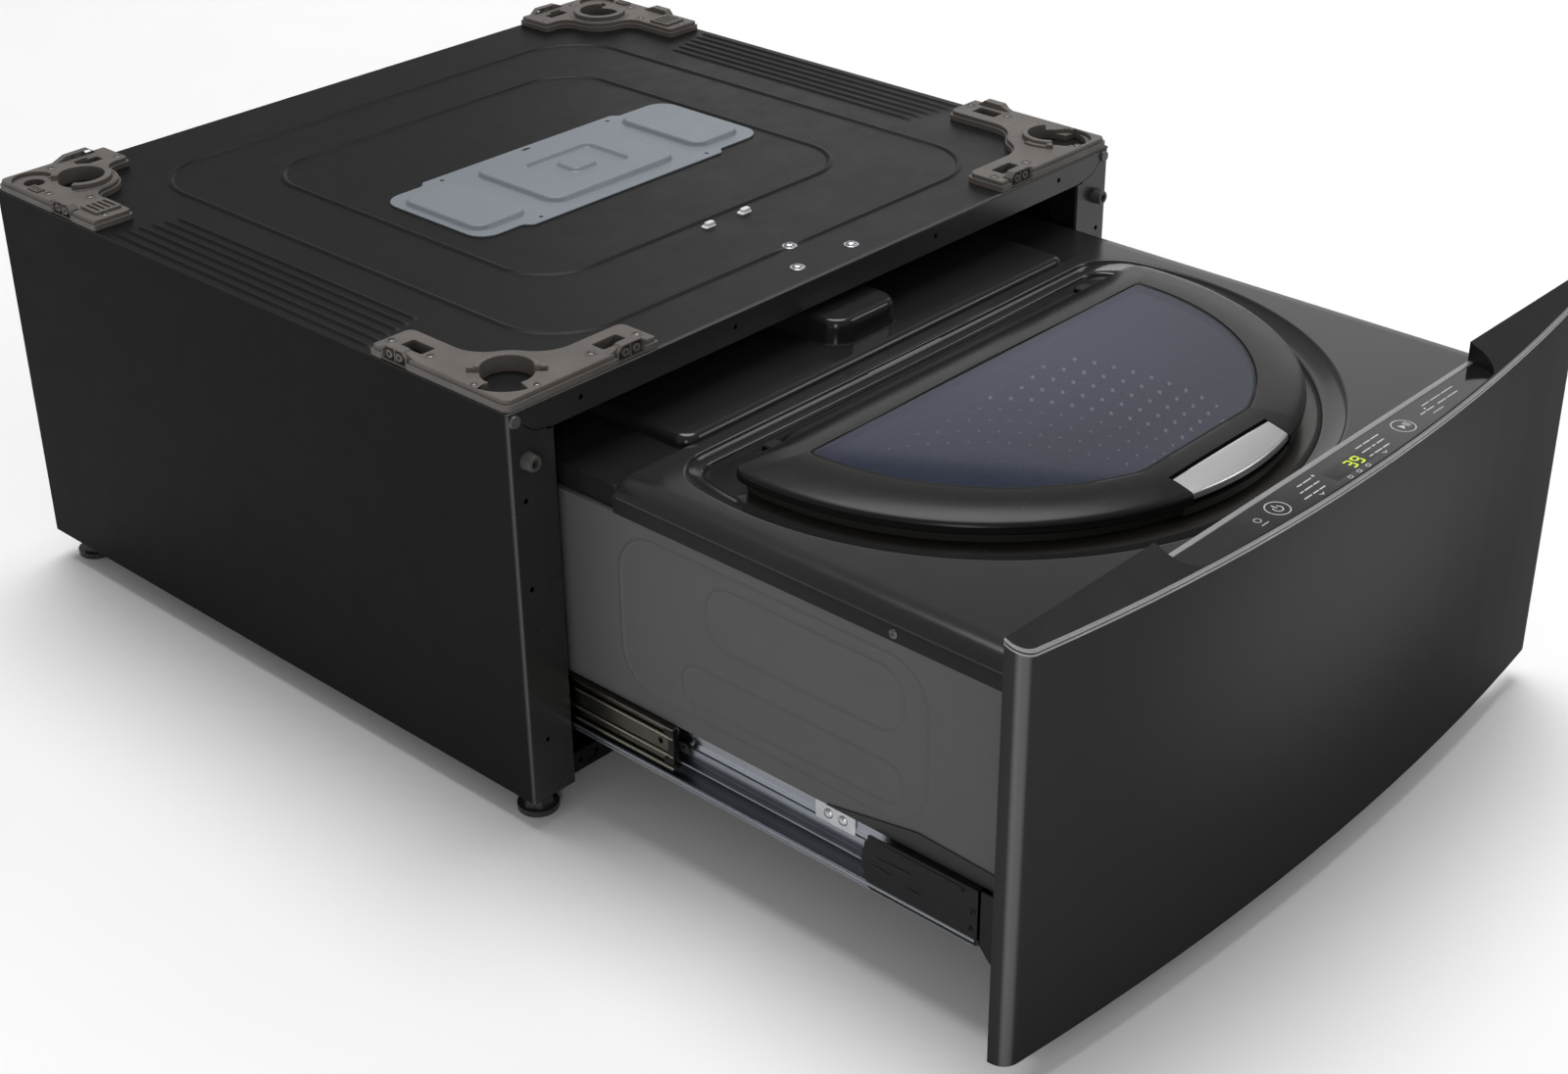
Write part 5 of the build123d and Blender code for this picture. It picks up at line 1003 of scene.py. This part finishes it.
# hinge bar along the back edge, with chamfered ends
bar = rounded([(FY - 107.4, 283.4, 1.5), (FY - 90.6, 283.4, 4.8), (FY - 90.6, 294.0, 5.0), (FY - 97, 298.2, 5.0), (FY - 107.4, 299.6, 1.0)], 5)
bar_r = [[(x, FY - 99 + (y - FY + 99) * k, 290 + (z - 290) * k2) for y, z in bar] for x, k, k2 in (
    (-171.8, 0.80, 0.45), (-170.5, 0.93, 0.62), (-166, 0.99, 0.85), (-158, 1, 1), (158, 1, 1), (166, 0.99, 0.85), (170.5, 0.93, 0.62), (171.8, 0.80, 0.45))]
lid.add(loft(bar_r, cap0=True, cap1=True))
# sealing lip that dips into the loading opening
lid.add(plate([[tuple(p) for p in resample(d_poly(191.8, FY - 145.0, FY - 120.5, 20), 5.0)], [tuple(p) for p in resample(d_poly(189.6, FY - 145.0, FY - 122.7, 18), 5.0)]], 276.0, 300.2, 0.6, 2))
# faces under the rim take the lighter brown: painted light; the back strip and the hinge bar take the black plastic
piece("lid_ring", lid, ["lid_black", "recess_painted_light", "outlet_black"], "lid", stands_for=("lid_frame",), angle=30,
      paint=lambda p, n: 2 if p.y > FY - 107.8 else 1 if p.z < 292.4 else 0)

# glass: plate with a ground edge, a black printed border underneath
glass = Soup().add(plate([[tuple(p) for p in resample(GP, 4.0)]], 304.7, 307.9, 0.6, 3))
piece("lid_window", glass, "lid_glass", "lid", stands_for=("lid_glass",), angle=30)
c_in = GP + (lc + np.array([0.0, -20.0]) - GP) / np.linalg.norm(lc + np.array([0.0, -20.0]) - GP, axis=1)[:, None] * 1.9
border = Soup().add(plate([[tuple(p) for p in resample(GP + (GP - lc) * 0.0005, 4.0)], [tuple(p) for p in resample(c_in, 4.0)]], 307.82, 307.97, 0.02, 0))
piece("glass_border", border, "outlet_black", "lid", angle=40)

# ---------------------------------------------------------------- lid handle
cols = np.linspace(-58.2, 58.2, 41)
rows = []
thick = 2.2
yb = FY - 347.2
side_lines = []
for x in cols:
    yo = FY - 134.4 - math.sqrt(237.8 ** 2 - x * x)
    line = []
    for t in (0.0, 0.04, 0.12, 0.25, 0.4, 0.55, 0.7, 0.82, 0.9):
        y = yb + (yo + 1.8 - yb) * t
        d = np.array([x, y]) - lc
        a = math.atan2(d[1], d[0])
        rgl = float(np.interp(a, tl, RGL, period=2 * math.pi))
        lo_ = float(np.interp(a, tl, LO, period=2 * math.pi))
        s = (np.hypot(*d) - rgl) / (lo_ - rgl)
        line.append((x, y, float(crown(s)) - 0.15 - (0.5 if t == 0 else 0)))
    z0 = line[-1][2]
    line += [(x, yo + 1.9, z0 - 0.35), (x, yo + 0.9, z0 - 1.1), (x, yo + 0.25, z0 - 2.4), (x, yo, z0 - 4.2), (x, yo + 0.1, z0 - 5.4), (x, yo + 0.9, z0 - 6.0)]
    inner = [(x, yo + 2.0, z0 - 5.6), (x, yo + 2.2, z0 - 4.0), (x, yo + 3.2, z0 - 2.9)]
    inner += [(x, p[1] + (0.3 if i == 0 else 0), p[2] - thick + (0.5 if i == 0 else 0)) for i, p in list(enumerate(line[:8]))[::-1]]
    rows.append(line + inner)
hd = Soup().add(loft(rows, cap0=True, cap1=True))
piece("handle_skin", hd, "handle_silver", "lid_handle", stands_for=("lid_handle",), angle=34)
hu = Soup()
hu.add(rbox(-54, 54, FY - 352, FY - 347.6, 298.2, 303.6, 0.8, 2))
hu.add(lathe([(0, -61), (2.0, -61), (2.0, 61), (0, 61)], 24, (0, FY - 348, 301), "x"))
hu.add(rbox(-50, 50, FY - 364, FY - 360, 296.5, 301.0, 1.2, 3))
for x in (-40, -20, 0, 20, 40):
    hu.add(rbox(x - 0.9, x + 0.9, FY - 363, FY - 350, 298.5, 302.0, 0.3, 1))
piece("handle_underside", hu, "outlet_black", "lid_handle", angle=40)

# ---------------------------------------------------------------- basket: dimples round the wall, near-white and glowing: painted highlights
dm = Soup()
dome = [(0, 1.0), (1.4, 0.8), (2.3, 0.2), (2.4, -0.6)]
bold = lambda a, z: 0.74 if (a < math.radians(50) or a > math.radians(326)) and z > 168 else 0.40
for row in range(11):
    z = 121.0 + 10.6 * row
    if z > 229:
        break
    for k in range(80):
        a = math.radians(4.5 * k + (2.25 if row % 2 else 0))
        ca, sa = math.cos(a), math.sin(a)
        rings = []
        for r, h in dome:
            ring = []
            for j in range(8):
                b = 2 * math.pi * j / 8
                p, q = r * bold(a, z) * math.cos(b), r * bold(a, z) * math.sin(b)
                R = 220.4 - h
                ring.append((R * ca - p * sa, FY - 150 + R * sa + p * ca, z + q))
            rings.append(ring)
        n = 8
        k0 = len(dm.v)
        dm.v.append(tuple(np.mean(rings[0], axis=0)))
        for ring in rings[1:]:
            dm.v += ring
        for j in range(n):
            j2 = (j + 1) % n
            dm.f.append((k0, k0 + 1 + j2, k0 + 1 + j))
            for m in range(2):
                dm.f.append((k0 + 1 + m * n + j, k0 + 1 + m * n + j2, k0 + 1 + (m + 1) * n + j2, k0 + 1 + (m + 1) * n + j))
        dm.f.append(tuple(k0 + 1 + 2 * n + j for j in range(n)))
        dm.m += [0] * (n * 3 + 1)
piece("basket_dimples", dm, "basket_dots", "basket", angle=60, slot="basket_steel")

# ---------------------------------------------------------------- slides
for sx, side_name in ((-1, "left"), (1, "right")):
    fl_ = (lambda s: s.mirror()) if sx > 0 else (lambda s: s)
    s = Soup()
    y0, y1 = DY + 46, DY + 498
    # rolled edges of the drawer member
    for xx, zz, rr in ((-299.2, 74.6, 1.7), (-299.0, 70.9, 1.0), (-293.4, 86.2, 1.0)):
        s.add(lathe([(0, y0), (rr * 0.8, y0), (rr, y0 + 0.4), (rr, y1), (0, y1)], 16, (xx, 0, zz), "y"))
    # pressed band along the web
    s.add(bead(np.array([(y, 100.5) for y in np.r_[y0 + 60, y0 + 62, y0 + 65, y0 + 70, np.linspace(y0 + 80, y1 - 90, 30), y1 - 70, y1 - 65, y1 - 62, y1 - 60]]), 7.0, 1.0, closed=False,
               put=lambda y, z, h: (-288.0 - h, y, z)))
    piece("slide_edges_" + side_name, fl_(s), "slide_zinc", "drawer", angle=40)
    s = Soup()
    m0, m1 = FY - 103.0, FY + 362.0
    s.add(plate([rounded([(m0 + 2, 90, 2), (m1 - 2, 90, 2), (m1 - 2, 106.5, 2), (m0 + 2, 106.5, 2)], 4), circle(m0 + 14, 99, 2.4, 20), circle(m0 + 120, 99, 2.4, 20), circle(m0 + 260, 99, 2.4, 20)],
                296.0, 297.3, 0.5, 3, put=lambda y, z, h: (-h, y, z)))
    piece("middle_web_" + side_name, fl_(s), "slide_dark", "slide_middle_" + side_name, angle=40, slot="slide_yellow")
    s = Soup()
    for zz in (80.6, 90.6, 106.0, 113.9):
        s.add(lathe([(0, m0), (1.0, m0), (1.3, m0 + 0.4), (1.3, m1 - 0.4), (1.0, m1), (0, m1)], 16, (-297.7, 0, zz), "y"))
    piece("middle_edges_" + side_name, fl_(s), "slide_yellow", "slide_middle_" + side_name, angle=40)
    s = Soup()
    # end retainer with its release lever
    s.add(rbox(-298.7, -296.3, m0 - 1.2, m0 + 5.0, 84, 112.5, 0.6, 2))
    s.add(rbox(-298.9, -296.3, m0 - 1.2, m0 + 9.0, 108, 112.8, 0.6, 2))
    s.add(rbox(-298.9, -296.3, m0 - 1.2, m0 + 9.0, 83.5, 88, 0.6, 2))
    s.add(rbox(-296.4, -293.4, m0 - 1.2, m0 + 3.0, 83.0, 112.5, 0.6, 2))
    s.add(plate([rounded([(m0 - 13, 96.5, 2.2), (m0 - 1, 95.5, 0.5), (m0 - 1, 104, 0.5), (m0 - 9, 104.5, 2.5), (m0 - 13, 101, 2.0)], 4), circle(m0 - 6.5, 101.0, 1.3, 16)], 292.6, 294.2, 0.4, 2, put=lambda y, z, h: (-h, y, z)))
    piece("slide_retainer_" + side_name, fl_(s), "outlet_black", "slide_middle_" + side_name, angle=40)

# rivet plates with domed rivets
rp = Soup()
for sx, axn in ((-1, "-x"), (1, "x")):
    rp.add(plate([rounded([(FY - 267, 97, 1.5), (FY - 231, 97, 1.5), (FY - 231, 112, 1.5), (FY - 267, 112, 1.5)], 3)], 288.0, 289.4, 0.35, 2, put=lambda y, z, h, sx=sx: (sx * h, y, z)), 1)
    for y in (FY - 256, FY - 243):
        rp.add(lathe([(0, 2.0), (1.6, 1.9), (2.9, 1.3), (3.7, 0.5), (4.0, 0.0), (4.0, -0.3), (0, -0.3)], 28, (sx * 289.4, y, 105), axn))
piece("rivet_plates", rp, ["fastener_steel", "fastener_steel"], "drawer", stands_for=("slide_rivet_plates",), angle=40)

# end covers: plate with a scalloped rear edge, a latch relief and two bosses
ec = Soup()
e0, e1 = FY - 381.0, FY - 281.0
teeth = [(e1 - 8 + 7.8 * math.sin(math.pi * (t + 1) / 14) - (1.5 if t % 2 else 0), 72.5 + 3.5 * t, 1.2) for t in range(13)]
ol = rounded([(e0, 71, 1), (e1 - 9, 71, 1)] + teeth + [(e1 - 9, 115.4, 1), (e0, 115.4, 1)], 4)
ec.add(plate([ol], 299.4, 300.2, 0.25, 2, put=lambda y, z, h: (-h, y, z)))
ec.add(rbox(-300.2, -286.5, e0, e0 + 75, 115.4, 115.9, 0.1, 1))
ec.add(rbox(-288.0, -286.5, e0, e0 + 75, 113.0, 116.0, 0.2, 1))
ec.add(bead(np.array([(y, 99.0 - 0.05 * (y - e1 + 12)) for y in np.linspace(e1 - 11, e1 - 46, 20)]), 4.6, 0.66, closed=False, put=lambda y, z, h: (-300.15 - h, y, z)))
ec.add(bead(np.array([(y, 92.0) for y in np.linspace(e1 - 8, e1 - 30, 14)]), 3.0, 0.6, closed=False, put=lambda y, z, h: (-300.15 - h, y, z)))
ec.add(bead(np.array([(y, 88.0) for y in np.linspace(e1 - 38, e1 - 54, 12)]), 3.6, 0.66, closed=False, put=lambda y, z, h: (-300.15 - h, y, z)))
for z in (74.0, 112.4):
    ec.add(bead(np.array([(y, z) for y in np.linspace(e0 + 3, e1 - 12, 24)]), 2.4, 0.55, closed=False, put=lambda y, z, h: (-300.15 - h, y, z)))
for y, z, r in ((e0 + 4.5, 97, 2.4), (e0 + 5.5, 83, 1.9), (e0 + 13, 110, 1.6)):
    ec.add(lathe([(r * 0.5, -0.2), (r * 0.5, 0.5), (r * 0.75, 0.62), (r, 0.5), (r, -0.2)], 20, (-300.15, y, z), "-x", wrap=True))
ecs = Soup().join(ec).join(ec.mirror())
piece("end_covers", ecs, "outlet_black", "drawer", stands_for=("slide_end_covers",), angle=34)

# ---------------------------------------------------------------- control marks
mk = Soup()
ZL = 329.3
h0, h1 = ZL - 0.05, ZL + 0.10


def mark(outlines, y_off=0.0):
    mk.add(plate(outlines, h0, h1, 0.02, 0))


def stroke(x0, x1, y, w=0.8):
    mark([rrect((x0 + x1) / 2, FY + y, abs(x1 - x0), w, w * 0.45, 3)])


for cx, cy in ((-82.7, -443.2), (73.1, -443.4)):
    mark([circle(cx, FY + cy, 8.9, 56), circle(cx, FY + cy, 8.1, 56)])
arc = circle(-82.7, FY - 443.6, 3.9, 30, 128, 412) + list(reversed(circle(-82.7, FY - 443.6, 3.0, 30, 128, 412)))
mark([arc])
mark([rrect(-82.7, FY - 440.6, 0.9, 5.0, 0.4, 3)])
mark([[(70.0, FY - 446.6), (74.4, FY - 443.4), (70.0, FY - 440.2)]])
mark([rrect(76.0, FY - 443.4, 1.1, 6.0, 0.3, 2)])
mark([rrect(78.3, FY - 443.4, 1.1, 6.0, 0.3, 2)])


def words(spans, y, w=1.15):
    """A printed line: a row of short dashes instead of lettering."""
    for a, b in spans:
        stroke(a, b, y, w)


words(((-50, -44), (-43, -33)), -437.0)
words(((-56, -52), (-51, -41), (-40, -33)), -443.2)
words(((-61, -52), (-50.5, -44), (-43, -36)), -449.6)
words(((22, 30), (31.5, 40), (41, 51)), -437.0)
words(((20, 31), (32.5, 37), (38.5, 48)), -443.2)
words(((19, 24), (25.5, 35), (36, 44)), -449.6)
words(((108, 118), (119.5, 133), (134.5, 150)), -437.2, 0.9)
words(((96, 103), (104, 114), (119, 131), (132, 146)), -443.4, 1.0)
words(((104, 118),), -448.6, 0.8)
stroke(-31.0, -28.6, -436.2, 2.6)
stroke(105.5, 107.3, -440.6, 1.8)
for x in (-46.5, 31.5):
    mark([[(x - 2.6, FY - 453.2), (x - 2.0, FY - 452.7), (x, FY - 454.3), (x + 2.0, FY - 452.7), (x + 2.6, FY - 453.2), (x, FY - 455.4)]])
for x in (-14.5, -3.5, 7.5):
    mark([rrect(x, FY - 455.4, 4.0, 3.2, 0.6, 3), rrect(x, FY - 455.4, 2.8, 2.0, 0.3, 3)])
mark([circle(-105, FY - 442.6, 2.8, 28), circle(-105, FY - 442.6, 2.2, 28)])
words(((-109, -101),), -448.6, 0.8)
piece("control_marks", mk, "print_grey", "drawer", angle=40, slot="clip_white")
mk = Soup()
ZL = 329.32
h0, h1 = ZL - 0.04, ZL + 0.12
SEG = {"3": "abcdg", "9": "abcdfg"}
for x, ch in ((0.8, "3"), (9.6, "9")):
    w, h, t = 5.4, 10.0, 1.2
    cy = FY - 446.0
    seg = {"a": (x, cy + h / 2 - t / 2, w - 1.0, t), "g": (x, cy, w - 1.0, t), "d": (x, cy - h / 2 + t / 2, w - 1.0, t),
           "b": (x + w / 2, cy + h / 4, t, h / 2 - 0.9), "c": (x + w / 2, cy - h / 4, t, h / 2 - 0.9),
           "f": (x - w / 2, cy + h / 4, t, h / 2 - 0.9), "e": (x - w / 2, cy - h / 4, t, h / 2 - 0.9)}
    for k in SEG[ch]:
        a, b, ww, hh = seg[k]
        mark([rrect(a, b, ww, hh, min(ww, hh) * 0.35, 2)])
piece("display_digits", mk, "digit_green", "drawer", angle=40, slot="display_dark")

# ---------------------------------------------------------------- the other CAD nodes keep their shape
slot_of = {s["node"]: s["material_slot"] for s in frame["record"]["subparts"]}
slot_of.update({"lid_hinge_pins": "outlet_black", "corner_rivets": "rivet_grey", "front_trim": "trim_line", "control_trim": "trim_line", "slide_middle_member_left": "slide_dark", "slide_middle_member_right": "slide_dark"})


def dress(o, slot, bevel=0.0005, segments=2, angle=35):
    o.data.materials.clear()
    o.data.materials.append(M[slot])
    for p in o.data.polygons:
        p.use_smooth = True
        p.material_index = 0
    w = o.modifiers.new("weld", "WELD")
    w.merge_threshold = 0.00002
    if bevel:
        b = o.modifiers.new("bevel", "BEVEL")
        b.width = bevel
        b.segments = segments
        b.limit_method = "ANGLE"
        b.angle_limit = math.radians(angle)
        b.use_clamp_overlap = True
        b.miter_outer = "MITER_ARC"
    n = o.modifiers.new("normals", "WEIGHTED_NORMAL")
    n.keep_sharp = True
    n.weight = 80


thin = {"front_trim": 0.0003, "control_trim": 0.0003, "control_panel": 0.0003, "display_window": 0.0001, "front_cap": 0.0004, "front_inner_panel": 0.0003}
for name, o in N.items():
    dress(o, slot_of[name], thin.get(name, 0.0005))

# ---------------------------------------------------------------- floor, light, camera


def stage_mesh(name, verts, faces, mat):
    me = bpy.data.meshes.new(name)
    me.from_pydata(verts, [], faces)
    me.materials.append(mat)
    o = bpy.data.objects.new(name, me)
    bpy.context.scene.collection.objects.link(o)
    return o


floor_mat = surface("floor_pale", (0.86, 0.86, 0.86), (0.89, 0.89, 0.89), (0.55, 0.65), spec=0.3, big=1.5, fine=60, grain=0.01)
stage_mesh("floor", [(-12, -12, 0), (12, -12, 0), (12, 12, 0), (-12, 12, 0)], [(0, 1, 2, 3)], floor_mat)

world = bpy.data.worlds.new("studio")
bpy.context.scene.world = world
world.use_nodes = True
wn = world.node_tree
bg = wn.nodes["Background"]
bg.inputs[0].default_value = (1.0, 1.0, 1.0, 1)
w_tc = wn.nodes.new("ShaderNodeTexCoord")
w_dot = wn.nodes.new("ShaderNodeVectorMath")
w_dot.operation = "DOT_PRODUCT"
w_dot.inputs[1].default_value = (0.80, -0.60, 0.0)
w_map = wn.nodes.new("ShaderNodeMapRange")
w_map.interpolation_type = "SMOOTHSTEP"
for i, v in ((1, 0.25), (2, 0.95), (3, 0.34), (4, 0.16)):
    w_map.inputs[i].default_value = v
wn.links.new(w_tc.outputs["Generated"], w_dot.inputs[0])
wn.links.new(w_dot.outputs["Value"], w_map.inputs[0])
wn.links.new(w_map.outputs[0], bg.inputs[1])


def area(name, loc, target, size, power, sy=None, color=(1, 1, 1)):
    l = bpy.data.lights.new(name, "AREA")
    l.shape = "RECTANGLE"
    l.size = size
    l.size_y = sy or size
    l.energy = power
    l.color = color
    o = bpy.data.objects.new(name, l)
    bpy.context.scene.collection.objects.link(o)
    o.location = loc
    o.visible_camera = False
    o.rotation_euler = (Vector(target) - Vector(loc)).to_track_quat("-Z", "Y").to_euler()
    return o


sun = bpy.data.lights.new("overhead", "SUN")
sun.energy = 2.35
sun.angle = math.radians(38)
sun_o = bpy.data.objects.new("overhead", sun)
bpy.context.scene.collection.objects.link(sun_o)
sun_o.rotation_euler = Vector((-0.18, -0.20, -0.96)).to_track_quat("-Z", "Y").to_euler()
area("panel_right", (2.9, 1.5, 1.35), (0.1, -0.1, 0.3), 2.6, 8.5, 1.5)
area("panel_left", (-2.5, -1.9, 1.0), (-0.3, -0.4, 0.25), 0.55, 14, 1.3)
area("panel_key", (2.1, -1.95, 2.0), (0.0, -0.45, 0.3), 1.3, 13, 0.9)

cam = bpy.data.cameras.new("camera")
cam_o = bpy.data.objects.new("camera", cam)
bpy.context.scene.collection.objects.link(cam_o)
yaw, pitch, roll = math.radians(47.14), math.radians(-29.43), math.radians(-0.59)
fw = Vector((math.sin(yaw) * math.cos(pitch), math.cos(yaw) * math.cos(pitch), math.sin(pitch)))
right = Vector((math.cos(yaw), -math.sin(yaw), 0))
up = right.cross(fw)
r_ = math.cos(roll) * right + math.sin(roll) * up
u_ = -math.sin(roll) * right + math.cos(roll) * up
cam_o.matrix_world = Matrix((
    (r_.x, u_.x, -fw.x, -1.303),
    (r_.y, u_.y, -fw.y, -1.234),
    (r_.z, u_.z, -fw.z, 1.086),
    (0, 0, 0, 1),
))
cam.sensor_width = 36
cam.lens = 36 * 2501 / 1600
cam.clip_start, cam.clip_end = 0.05, 60
bpy.context.scene.camera = cam_o
bpy.context.scene.view_settings.view_transform = "Standard"
